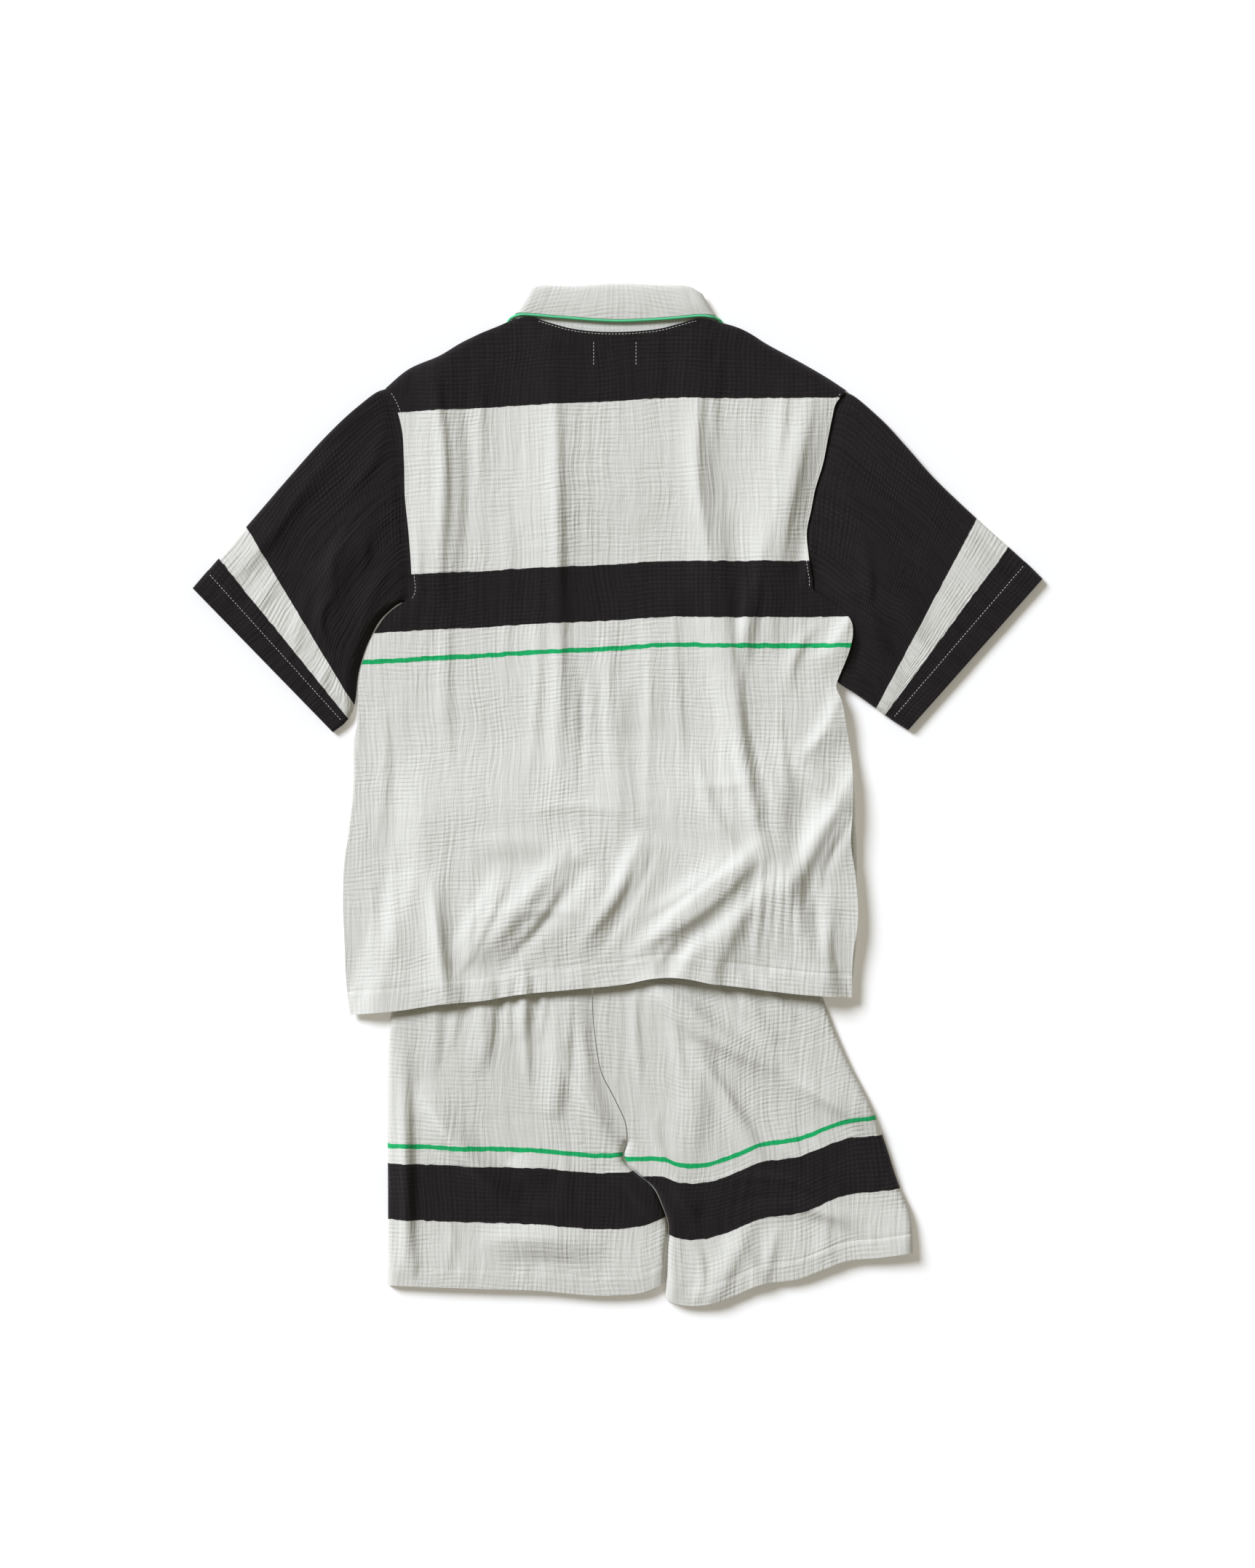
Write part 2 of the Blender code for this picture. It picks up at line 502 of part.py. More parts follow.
def tube_grid(sections, share, points, bottom, top):
    """A flattened tube through a table of sections, closed round its columns."""
    share = share[:, None]
    upper = [through(sections, share, c) for c in (1, 2)]
    lower = [through(sections, share, c) for c in (3, 4)]
    bow, height = through(sections, share, 5), through(sections, share, 6)
    flat = np.linspace(-1, 1, points)
    ends = np.radians([54, 18, -18, -54])
    across = np.concatenate([flat, np.ones(4), flat[::-1], -np.ones(4)])[None]
    out = np.concatenate([flat * 0, np.cos(ends), flat * 0, -np.cos(ends)])[None]
    level = np.concatenate([flat * 0 + 1, np.sin(ends), flat * 0 - 1, np.sin(ends[::-1])])[None]
    half_x, half_y = (lower[0] - upper[0]) / 2, (lower[1] - upper[1]) / 2
    half = np.hypot(half_x, half_y)
    radius = np.minimum(height / 2, 4.5)
    s = (across * (half - radius) + out * radius) / half
    x = (upper[0] + lower[0]) / 2 + s * half_x + bow * (1 - s * s)
    y = (upper[1] + lower[1]) / 2 + s * half_y
    low = bottom(x, y)
    high = np.maximum(top(x, y, s, height, share), low + 2.0)
    return np.stack([x, y, low + (high - low) * (level + 1) / 2], axis=-1)


def sleeve(name, sections, side, table, edge, armhole, fabric):
    """One sleeve, a flattened tube from inside the armhole seam to the cuff."""

    share = np.array([0, 0.03, 0.06, 0.10, 0.16, 0.25, 0.35, 0.46, 0.57, 0.68, 0.79])
    share = np.concatenate([share, [CUFF_SHARE - 0.008, CUFF_SHARE, 1.0]])
    wall = np.where(share >= CUFF_SHARE, HEM_WALL, WALL)[:, None]

    def bottom(x, y):
        inside = (through(edge, y) - x) * side
        return wall / 2 + PLY_STEP * ease((inside + 11) / 7)

    def top(x, y, s, height, share):
        own = REST + height + folds(x, y, table) * (1 - s**6) * ease(share / 0.1)
        inside = (through(armhole, y) - x) * side
        seam = back_top(x, y) - PLY_STEP - ARMHOLE_DROP
        return own + (seam - own) * ease((inside + 13) / 11)

    middle = tube_grid(sections, share, SLEEVE_POINTS, bottom, top)
    return cloth(name, middle, fabric, wall, closed=True)


def collar_middle():
    """Middle of the collar: a row across it for each place along it."""
    share = np.array(COLLAR_ROWS)
    share = np.concatenate([share, [0.5], 1 - share[::-1]])[:, None]
    angle = np.radians(np.clip(through(COLLAR, share), -90, 90))
    base, fold, leaf = (
        np.stack([through(COLLAR, share, c) for c in pair], axis=-1)
        for pair in ((2, 3), (4, 5), (6, 7))
    )
    level, radius = (a + b * np.sin(angle) for a, b in (STAND_LEVEL, COLLAR_TURN))
    side = np.where(share < 0.5, -1.0, 1.0)
    out = np.stack([side * COLLAR_OUT[0], 0 * side + COLLAR_OUT[1]], axis=-1) * np.cos(angle)[..., None]
    ahead = (fold - base) / np.linalg.norm(fold - base, axis=-1, keepdims=True)
    radius_xy = radius[..., None]
    leaf_start = fold + 2 * radius_xy * out
    parts = []
    for w in (0, 0.35, 0.7, 0.95):
        parts.append((base + (fold - base) * w, level))
    for bend in np.radians([-45, 0, 45]):
        spot = fold + radius_xy * ((1 + np.sin(bend)) * out + np.cos(bend) * ahead)
        parts.append((spot, level + radius * (1 + np.sin(bend)) * np.sin(angle)))
    for w in (0.05, 0.35, 0.7, 1.0):
        parts.append((leaf_start + (leaf - leaf_start) * w, level + 2 * radius * np.sin(angle)))
    return np.concatenate([np.concatenate([xy, z[..., None]], axis=-1) for xy, z in parts], axis=1)


def collar(fabric, trim):
    """The collar and the piping along the free edges of its leaf."""
    middle = collar_middle()
    cloth("collar", middle, fabric, COLLAR_WALL)
    away = PIPING_RADIUS + 1.5 * SEAM_GAP
    edge, inside = middle[:, -1], middle[:, -2]
    out, ahead = edge - inside, np.gradient(edge, axis=0)
    out -= ahead * np.sum(out * ahead, axis=1, keepdims=True) / np.sum(ahead**2, axis=1)[:, None]
    steep = np.abs(ahead[:, 2:]) / np.linalg.norm(ahead, axis=1, keepdims=True)
    line = edge + (away + 0.8 * steep) * out / np.linalg.norm(out, axis=1, keepdims=True)
    ends = []
    for end, beyond in ((0, 1), (-1, -2)):
        along = middle[end, -1] - middle[beyond, -1]
        along = along * away / np.linalg.norm(along)
        corner = line[end] + along
        ends.append([middle[end, k] + along for k in (8, 9)] + [corner])
    line = np.concatenate([ends[0], line[1:-1], ends[1][::-1]])
    line[:, 2] = np.maximum(line[:, 2], PIPING_RADIUS)
    tube("collar_piping", line, PIPING_RADIUS, trim)


def tube(name, line, radius, trim, sides=6):
    """A round cord along a line of points."""
    ahead = np.gradient(line, axis=0)
    ahead /= np.linalg.norm(ahead, axis=1, keepdims=True)
    out = np.cross(ahead, [0, 0, 1])
    out /= np.linalg.norm(out, axis=1, keepdims=True)
    up = np.cross(out, ahead)
    turn = np.linspace(0, 2 * math.pi, sides, endpoint=False)
    ring = out[:, None] * np.cos(turn)[None, :, None] + up[:, None] * np.sin(turn)[None, :, None]
    points = (line[:, None] + ring * radius).reshape(-1, 3)
    faces = grid_faces(len(line), sides, True, 0)
    last = len(points) - sides
    faces += [tuple(range(sides))[::-1], tuple(last + i for i in range(sides))]
    return solid(name, points, faces, trim)


def button(name, place, plastic):
    """A four-hole button, its dished face down."""
    hole_radius, hole_circle, hole_sides = 0.95, 1.9, 5
    profile = [  # radius, height
        (4.9, 0.5), (5.8, 0.0), (BUTTON_RADIUS, 1.0), (6.4, BUTTON_THICKNESS),
    ]
    sides = 14

    def ring(radius, height, count, centre=(0, 0), start=0.0):
        angles = [2 * math.pi * k / count + start for k in range(count)]
        return [
            (centre[0] + radius * math.cos(a), centre[1] + radius * math.sin(a), height)
            for a in angles
        ]

    centres = [
        (hole_circle * math.cos(a), hole_circle * math.sin(a))
        for a in (math.pi / 4 + math.pi / 2 * k for k in range(4))
    ]
    points, faces = [], []
    for radius, height in profile:
        points += ring(radius, height, sides)
    faces += grid_faces(len(profile), sides, True, 0)
    holes = []
    for height in (profile[0][1], BUTTON_THICKNESS):
        for centre in centres:
            holes.append(len(points))
            points += ring(hole_radius, height, hole_sides, centre, 0.2)
    for first, start, flip in ((0, 0, True), ((len(profile) - 1) * sides, 4, False)):
        loops = [list(range(first, first + sides))]
        loops += [list(range(h, h + hole_sides)) for h in holes[start : start + 4]]
        flat = [k for loop in loops for k in loop]
        for a, b, c in tessellate_polygon([[Vector(points[k]) for k in loop] for loop in loops]):
            face = (flat[a], flat[b], flat[c])
            faces.append(face[::-1] if flip else face)
    for low, high in zip(holes[:4], holes[4:]):
        for k in range(hole_sides):
            n = (k + 1) % hole_sides
            faces.append((low + n, low + k, high + k, high + n))
    made = solid(name, points, faces, plastic)
    made.location = (place[0] * MM, place[1] * MM, 0)
    return made


def leg(name, side, outer, inner, hem, fabric):
    """The back and front panels of one leg of the shorts."""
    left, right = (outer, inner) if side < 0 else (inner, outer)
    top_y = WAIST_SEAM_Y - 2 * SEAM_GAP
    waist = [(WAIST_LEFT_X - 10, top_y), (WAIST_RIGHT_X + 10, top_y)]
    columns = clustered(LEG_COLUMNS, 250, [0, 0.5, 1.8, 4])
    length = LEG_ROWS[-1] - inner[0][0]
    rows = np.concatenate([[0], (np.array(LEG_ROWS) - inner[0][0]) / length])
    rows, wall = hem_rows(rows, length, LEG_HEM_DEPTH)
    x, y = sheet_grid(columns, rows, left, right, hem, waist)
    low_x, high_x = through(left, y), through(right, y)
    seam = ease((y - CROTCH_Y + 4) / 12)
    from_outer, from_inner = (x - low_x, high_x - x) if side < 0 else (high_x - x, x - low_x)
    roll = rise(from_outer, LEG_ROLL) * np.maximum(rise(from_inner, LEG_ROLL), seam)
    top = REST + (leg_top(x, y) - REST) * roll
    cloth(f"{name}_back", np.stack([x, y, top], axis=-1), fabric, wall)
    x, y = sheet_grid(np.linspace(0, 1, 6), rows, left, right, hem, waist)
    seam = ease((y[:, -1:] - CROTCH_Y + 4) / 12)
    inset = EDGE_INSET + 1.2 * ease((32 - np.abs(y - CROTCH_Y + 22)) / 14)
    ends = [x[:, :1] + inset[:, :1], x[:, -1:] - inset[:, -1:]]
    if side < 0:
        ends[1] = ends[1] + (EDGE_INSET - 0.4) * seam
    else:
        ends[0] = ends[0] - (EDGE_INSET - 0.4) * seam
    x = ends[0] + (ends[1] - ends[0]) * np.linspace(0, 1, 6)[None]
    y = y + 1.5 * (1 - rows)[:, None]
    cloth(f"{name}_front", np.stack([x, y, 0 * x + wall / 2], axis=-1), fabric, wall)


def waistband(fabric):
    """The elastic waistband of the shorts: a flat gathered tube."""
    gathers = 8
    flat = np.linspace(-1, 1, 4 * gathers + 1)
    ends = np.radians([54, 18, -18, -54])
    across = np.concatenate([flat, np.ones(4), flat[::-1], -np.ones(4)])
    out = np.concatenate([flat * 0, np.cos(ends), flat * 0, -np.cos(ends)])
    level = np.concatenate([flat * 0 + 1, np.sin(ends), flat * 0 - 1, np.sin(ends[::-1])])
    centre, half = (WAIST_LEFT_X + WAIST_RIGHT_X) / 2, (WAIST_RIGHT_X - WAIST_LEFT_X) / 2
    low = WAIST_WALL / 2
    high = WAIST_HEIGHT - WAIST_WALL / 2
    x = centre + across * (half - 2) + out * 2
    ripple = 0.5 * np.cos(flat * math.pi * gathers) * (1 - flat**8)
    z = low + (high - low) * (level + 1) / 2
    z[: len(flat)] += ripple
    rows = [WAIST_SEAM_Y, WAIST_TOP_Y]
    middle = np.stack([np.stack([x, 0 * x + y, z], axis=-1) for y in rows])
    return cloth("shorts_waistband", middle, fabric, WAIST_WALL, closed=True)


def centre_on_origin():
    """Moves everything so that the origin is under the middle of the set."""
    bpy.context.view_layer.update()
    corners = np.array(
        [o.matrix_world @ v.co for o in bpy.context.scene.objects for v in o.data.vertices]
    )
    low, high = corners.min(axis=0), corners.max(axis=0)
    shift = Vector((-(low[0] + high[0]) / 2, -(low[1] + high[1]) / 2, -low[2]))
    for made in bpy.context.scene.objects:
        made.location += shift


def main():
    for old in list(bpy.data.objects):
        bpy.data.objects.remove(old)
    gauze = material("gauze_off_white", OFF_WHITE, 0.9)
    dark = material("gauze_black", BLACK, 0.85)
    green = material("piping_green", GREEN, 0.7)
    shell = material("button_shell", SHELL_BUTTON, 0.35)
    shirt_back(gauze)
    shirt_front("shirt_front_left", -1, FRONT_LEFT, gauze)
    shirt_front("shirt_front_right", 1, FRONT_RIGHT, gauze)
    sleeve("sleeve_left", LEFT_SLEEVE, -1, LEFT_SLEEVE_FOLDS, FRONT_LEFT, BACK_LEFT, dark)
    sleeve("sleeve_right", RIGHT_SLEEVE, 1, RIGHT_SLEEVE_FOLDS, FRONT_RIGHT, BACK_RIGHT, dark)
    collar(gauze, green)
    for number, place in enumerate(button_places(), 1):
        button(f"button_{number}", place, shell)
    leg("shorts_left", -1, LEG_LEFT_OUTER, LEG_LEFT_INNER, LEG_LEFT_HEM, gauze)
    leg("shorts_right", 1, LEG_RIGHT_OUTER, LEG_RIGHT_INNER, LEG_RIGHT_HEM, gauze)
    waistband(gauze)
    centre_on_origin()


main()
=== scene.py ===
"""The pyjama set as it looks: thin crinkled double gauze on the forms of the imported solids.

Lengths in the tables are millimetres, as in the part's source. +X is to the right of the photo, +Y
towards the collar and +Z up from the surface. Left and right are the viewer's."""

import math
from itertools import product

import bpy
import numpy as np
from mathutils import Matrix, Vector
from mathutils.bvhtree import BVHTree


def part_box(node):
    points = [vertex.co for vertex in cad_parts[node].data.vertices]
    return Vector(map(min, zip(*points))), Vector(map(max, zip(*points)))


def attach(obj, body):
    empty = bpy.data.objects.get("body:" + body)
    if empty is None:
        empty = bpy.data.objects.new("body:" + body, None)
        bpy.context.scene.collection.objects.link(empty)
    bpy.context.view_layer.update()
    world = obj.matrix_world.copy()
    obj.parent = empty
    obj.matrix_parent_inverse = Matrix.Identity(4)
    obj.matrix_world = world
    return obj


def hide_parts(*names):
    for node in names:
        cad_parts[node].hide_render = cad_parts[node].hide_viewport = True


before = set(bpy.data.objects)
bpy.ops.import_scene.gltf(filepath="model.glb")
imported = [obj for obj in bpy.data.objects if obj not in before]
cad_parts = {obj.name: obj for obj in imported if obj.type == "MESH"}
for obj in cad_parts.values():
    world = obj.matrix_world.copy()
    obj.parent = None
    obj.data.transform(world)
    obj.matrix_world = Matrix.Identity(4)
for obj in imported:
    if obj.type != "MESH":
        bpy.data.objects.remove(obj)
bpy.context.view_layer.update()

MM = 0.001
TURN = 2 * math.pi

# Cloth
WALL = 1.2
HEM_WALL = 1.9
COLLAR_WALL = 1.8
WAIST_WALL = 2.4
SEAM_GAP = 0.3
PLY_STEP = 2.1  # between the middles of two plies that touch on a slope
ARMHOLE_DROP = 0.45  # how much further a sleeve lies below the back at its seam
REST = WALL / 2  # middle of a ply that lies on the surface
HEM_DEPTH = 25.0
LEG_HEM_DEPTH = 21.0
CUFF_SHARE = 0.905  # of a sleeve's length, up to the top of its hem
SLEEVE_LENGTHS = (300, 305)
SLEEVE_HALF = 110.0  # of the cloth's width on one side of the flattened sleeve
BACK_SIZE = (540, 720)  # width and length that set how close the rows of a panel lie
FRONT_SIZE = (260, 620)
LEG_WIDTH = 250
SHARP_EDGE = math.radians(55)
FOLD_STEPS = 24  # straight steps in the bent line of a fold
FULL_FOLD, FOLD_EXCESS = 8, 5  # where folds add up to more, the rest levels off
LATTICE = 128

# Trim
PIPING_RADIUS = 1.4
BUTTON_THICKNESS = 2.4
BUTTON_PITCH = 80.0
BUTTON_TOP_Y = 326.0
BUTTON_COUNT = 5
BUTTON_CLEARANCE = 0.35
BUTTON_ROW_MARGIN, BUTTON_ROW_SLOPE = 40, 24  # where the placket rises at both ends of the row

# Topstitching
STITCH_PITCH, STITCH_LENGTH, STITCH_WIDTH = 3.6, 2.5, 0.5
STITCH_SINK = 0.12
STEEP_STITCH = 1.5  # a stitch that climbs more is left out
RAY_START = {1: 0.1, -1: -0.05}  # of the rays that find the cloth from above and below, in metres
HEM_INSET, ARMHOLE_INSET, SIDE_INSET, NECK_INSET = 1, 3, 2.4, 2.2  # from a hem's fold or a seam
PLACKET_STITCHES = (-13.5, 12.5)
BAR_PLACES, BAR_ENDS = (-25, 20), [482, 457]  # the two short bars below the neck
PUCKER_HEIGHT, GROOVE_DEPTH = 1.1, 0.6  # of the cloth that a hem's stitches pull in

# Waist of the shorts, under the shirt
WAIST_TOP_Y = -45.0
WAIST_SEAM_Y = -78.0
WAIST_LEFT_X = -192.0
WAIST_RIGHT_X = 170.0
WAIST_HEIGHT = 6.4
WAIST_GATHERS = 8
BACK_RAMP = 104.0  # length over which the back of the shirt climbs onto the waist
FRONT_RAMP = 24.0

# Side edges of the back panel: the side seam, then the armhole, from the hem up
BACK_LEFT = [  # y, x
    (-233, -283.5), (-206, -287.5), (-166, -289.5), (-107, -291.5), (-65, -289.5), (-35, -284),
    (12, -278.5), (59, -276.5), (96, -276), (120, -275), (134, -273), (150, -268), (166, -262),
    (180, -254), (193, -244), (201, -234), (207, -223), (214, -218.5), (231, -218.5),
    (278, -221.5), (318, -225.5), (355, -226.5),
    (398, -230.5), (420, -238.5), (433, -246.5),
]
BACK_RIGHT = [
    (-215, 249), (-172, 250), (-136, 255), (-83, 252.5), (-53, 248), (-17, 249.5), (41, 248.5),
    (71, 243.5), (101, 238), (117, 232.5), (126, 235.5), (143, 242.5), (160, 248), (174, 250),
    (185, 248), (196, 240), (206, 227), (216, 210.5), (231, 207), (258, 203), (281, 201.5),
    (303, 206), (324, 210), (352, 218.5), (380, 224), (402, 228.5), (417, 232.5), (431, 243.5),
]
BACK_HEM = [  # x, y
    (-284, -233.5), (-227, -228), (-185, -221.5), (-144, -218), (-108, -212), (-49, -206),
    (10, -200), (40, -194), (70, -194), (99, -199.5), (129, -203), (188, -210.5), (250, -215),
]
BACK_TOP = [  # x, y: shoulder, neck seam, shoulder
    (-246.5, 433), (-227, 450), (-185, 470), (-168, 480.5), (-126, 499), (-108, 506.3),
    (-93, 508.3), (-74, 503), (-51, 496.5), (-25, 493), (0, 492.3), (24, 493.4), (48, 496.4),
    (65, 501),
    (88, 506.5), (108, 503), (129, 497), (164, 477.5), (200, 458), (227, 442), (243.5, 431),
]
# How high the back panel stands above the front: at its left edge, middle and right edge
BACK_HEIGHTS = [  # y, left, middle, right
    (-225, 4.5, 5.0, 11.0), (-150, 6.5, 8.5, 16.0), (-60, 6.5, 9.5, 14.0), (60, 6.0, 9.5, 12.0),
    (130, 5.0, 9.5, 12.0), (175, 5.0, 9.5, 12.5), (230, 6.5, 9.5, 10.0), (330, 7.5, 9.5, 8.5),
    (430, 7.0, 8.5, 7.5), (510, 7.0, 8.0, 7.5),
]
SHOULDER_ROLL = 9.0
NECK_LIFT = 3.2  # of the back over the folded collar
SEAM_CALM = 0.15  # what is left of folds and crinkle at a seam

# Front panels: where the side starts to turn up, and how much of that turn there is
FRONT_LEFT = [  # y, x, turn
    (-233, -279, 1), (-166, -284, 1), (-65, -286, 1), (12, -279, 1), (59, -278, 1), (96, -270, 0.6),
    (130, -267, 0.02), (165, -255, 0.02), (198, -231, 0.02), (231, -217, 0.02), (318, -223, 0.02),
    (398, -228, 0.02), (433, -238, 0.02),
]
FRONT_RIGHT = [
    (-215, 244, 1), (-136, 248, 1), (-83, 248, 1), (-17, 244, 1), (41, 242, 1), (71, 236, 0.8),
    (101, 226, 0.2), (130, 220, 0.02), (174, 212, 0.02), (216, 207, 0.02), (281, 200, 0.02),
    (352, 216, 0.02), (402, 226, 0.02), (431, 234.5, 0.02),
]
FRONT_CENTRE = [(-235, -14), (0, -8), (400, 0)]  # y, x
PLACKET_HALF = 15.0
PLACKET_FLAT = 8.0  # from its middle, the part that lies level over the buttons
NECKLINE = [  # distance from the middle, y
    (15, 386), (38, 410), (62, 440), (78, 466), (88, 488), (96, 500.5), (112, 502.5),
]
FRONT_SIDE_STRIP = 8.0  # how far the front reaches under the back at the side seam
FRONT_ARM_STRIP = 4.0  # its last columns, where the edge lies flat below the sleeve
EDGE_INSET = 2.2  # between a rolled edge and the ply that ends inside it

# Sleeves as flattened tubes: upper edge, lower edge, bow of the line between them, height
LEFT_SLEEVE = [  # share, upper x, upper y, lower x, lower y, bow, height
    (0.00, -240, 433.5, -212, 208, 8, 3.4), (0.07, -254, 429.5, -229, 206, 7, 7.0),
    (0.16, -276, 413, -247, 193, 5, 9.0), (0.32, -311, 380, -264, 166, 3, 10.0),
    (0.48, -346, 341, -275, 134, 0, 10.0), (0.66, -384, 297, -279, 103, 0, 9.0),
    (0.80, -411, 266, -283, 87, 0, 8.0), (0.91, -436, 237.5, -291, 77, 0, 7.0),
    (1.00, -451, 220, -303, 68, 0, 6.0),
]
RIGHT_SLEEVE = [
    (0.00, 237, 430.5, 208, 141, -29, 3.4), (0.07, 251, 425, 222, 131, -21, 6.5),
    (0.16, 277, 403, 236, 120, -11, 8.5), (0.32, 307, 371, 250, 111, -4, 9.5),
    (0.48, 336, 338, 261, 103.5, 0, 9.5), (0.62, 366, 309, 270, 97, 0, 9.0),
    (0.78, 399, 279, 281, 89, 0, 8.0), (0.90, 432.5, 249, 291, 82, 0, 7.0),
    (1.00, 452, 230, 310, 70, 0, 6.5),
]

# Collar from its left point round the back of the neck to its right point. A stand rises from
# the neck seam at its base, folds over, and comes back as the leaf. The turn is 90 degrees where
# the leaf lies on top of the back and -90 where it lies under the front.
COLLAR = [  # share, turn, base x, base y, fold x, fold y, leaf x, leaf y
    (0.00, -90, -18, 391, -13, 398, -80, 374), (0.07, -90, -42, 419, -31, 427, -98, 400),
    (0.14, -90, -65, 449, -52, 456, -113, 430), (0.21, -90, -80, 475, -68, 484, -120, 462),
    (0.27, -88, -86, 490, -79, 503, -119, 487), (0.305, -62, -86, 497, -87, 517, -115, 502),
    (0.335, 0, -83, 500, -92, 528, -108.8, 511), (0.365, 62, -80, 500.5, -88.5, 536, -103, 513),
    (0.40, 88, -72, 497.5, -80, 539, -91, 512.5), (0.45, 90, -46, 489, -46, 538.5, -56, 509.5),
    (0.50, 90, 0, 486, 0, 541, 0, 506), (0.55, 90, 44, 489.5, 45, 539.5, 54, 508.5),
    (0.60, 88, 68, 496, 74, 538.5, 86, 511.5), (0.635, 62, 77, 500, 83, 533, 98, 511),
    (0.665, 0, 80, 500, 89, 526, 104.8, 509), (0.695, -62, 83, 497, 84.5, 515, 111, 500),
    (0.73, -88, 84, 490, 77, 501, 116, 486), (0.79, -90, 79, 475, 67, 483, 118, 462),
    (0.86, -90, 65, 449, 52, 456, 112, 430), (0.93, -90, 42, 419, 31, 427, 98, 400),
    (1.00, -90, 18, 391, 13, 398, 80, 374),
]
STAND_LEVEL = (4.86, 1.86)  # middle of the stand: halfway up, and how much the turn adds
COLLAR_TURN = (1.66, 0.62)  # radius of the fold of the collar, likewise
COLLAR_OUT = (0.75, 0.66)  # the way the leaf wraps round the end of the shoulder
COLLAR_LIFT = 4.2  # of the shirt's fronts over it
COLLAR_FOLD = 11  # the point of a row across the collar that lies on its fold

# Legs of the shorts: outer edge and inner edge, from the hem up
LEG_LEFT_OUTER = [  # y, x
    (-522, -243.5), (-419, -243.5), (-333, -244), (-290, -243.5), (-232, -240), (-200, -233),
    (-160, -220), (-120, -205), (-78, -190),
]
LEG_LEFT_INNER = [
    (-518, 50), (-479, 52), (-458, 53.5), (-436, 46.5), (-414, 34), (-402, 19), (-391, 8),
    (-382, 5.5), (-372, 8.5), (-350, 8.5), (-324, -2.5), (-294, -17.5), (-268, -22.5),
    (-238, -26), (-203, -27), (-78, -24),
]
LEG_RIGHT_OUTER = [
    (-486, 314.5), (-444, 311.5), (-414, 299), (-367, 283.5), (-328, 268.5), (-286, 247),
    (-247, 230), (-214, 218), (-160, 198), (-120, 184), (-78, 168),
]
LEG_RIGHT_INNER = [
    (-535, 51.5), (-518, 52.7), (-479, 54.4), (-458, 55.5), (-436, 48.7), (-414, 36.4),
    (-402, 21.6), (-391, 10.8), (-382, 7.5), (-372, 10.3), (-350, 9.8), (-324, -1.3),
    (-294, -16.3), (-268, -21.4), (-238, -24.9), (-203, -25.9), (-78, -23),
]
LEG_LEFT_HEM = [(-243.5, -521), (-153, -524), (-88, -526), (-2, -531), (30, -527), (50, -518)]
LEG_RIGHT_HEM = [
    (50, -535), (64, -540.5), (88, -542), (127, -530.5), (148, -521), (191, -514), (247, -494),
    (278, -491), (315, -485.5),
]
LEG_HEIGHTS = [  # y, left edge, middle, right edge, over both legs
    (-540, 4.5, 5.0, 6.5), (-480, 5.5, 8.0, 9.0), (-400, 6.0, 8.5, 9.5), (-300, 6.0, 8.0, 8.5),
    (-200, 6.0, 6.5, 7.0), (-78, 6.0, 6.0, 6.0),
]
LEG_ROLL = 6.0
LEG_GAPE, GAPE_REACH = 6, 70  # how far a hem stands open, and up to where
CROTCH_Y = -372.0

# Folds: where each crest starts, passes and ends, its width to the left and right of that
# direction, its height, and how much of it is left at its start and end, where any is
BACK_FOLDS = [  # x1, y1, x2, y2, x3, y3, left, right, height, start, end
    (-204, 470, -188, 331, -208, 141, 9, 26, 5.0, 0.6, 0),
    (-78, 488, -68, 244, -62, 12, 13, 30, 4.0, 0.5, 0),
    (4, 128, 0, 60, 6, -60, 12, 18, 2.6),
    (88, 480, 84, 346, 104, 141, 10, 17, 3.6, 0.6, 0),
    (112, 320, 116, 175, 146, -10, 10, 26, 5.5, 0, 0.3),
    (196, 420, 160, 264, 164, 150, 12, 24, 6.0, 0.3, 0),
    (172, 60, 214, 20, 246, -18, 10, 14, 4.0, 0, 0.4),
    (236, -6, 206, -54, 182, -120, 11, 18, 6.5),
    (-12, -66, -24, -112, -52, -170, 11, 22, 5.0),
    (-78, -70, -108, -122, -146, -168, 12, 24, 5.0, 0, 0.2),
    (138, -58, 90, -112, 18, -158, 13, 26, 7.5),
    (152, -90, 122, -140, 98, -196, 11, 20, 5.0, 0, 0.8),
    (-196, -80, -190, -157, -183, -224, 8, 16, 3.0, 0, 0.8),
    (-168, -58, -108, -52, -36, -66, 14, 14, 2.5),
]
LEFT_SLEEVE_FOLDS = [
    (-296, 372, -352, 300, -410, 236, 12, 16, 3.0, 0, 0.3),
    (-246, 300, -300, 232, -300, 150, 14, 20, 4.0, 0.2, 0),
]
RIGHT_SLEEVE_FOLDS = [
    (236, 330, 286, 246, 330, 170, 12, 18, 3.6, 0.2, 0),
    (216, 214, 262, 190, 292, 120, 10, 16, 3.6, 0.2, 0.2),
    (330, 330, 372, 262, 400, 220, 12, 16, 2.4, 0, 0.3),
]
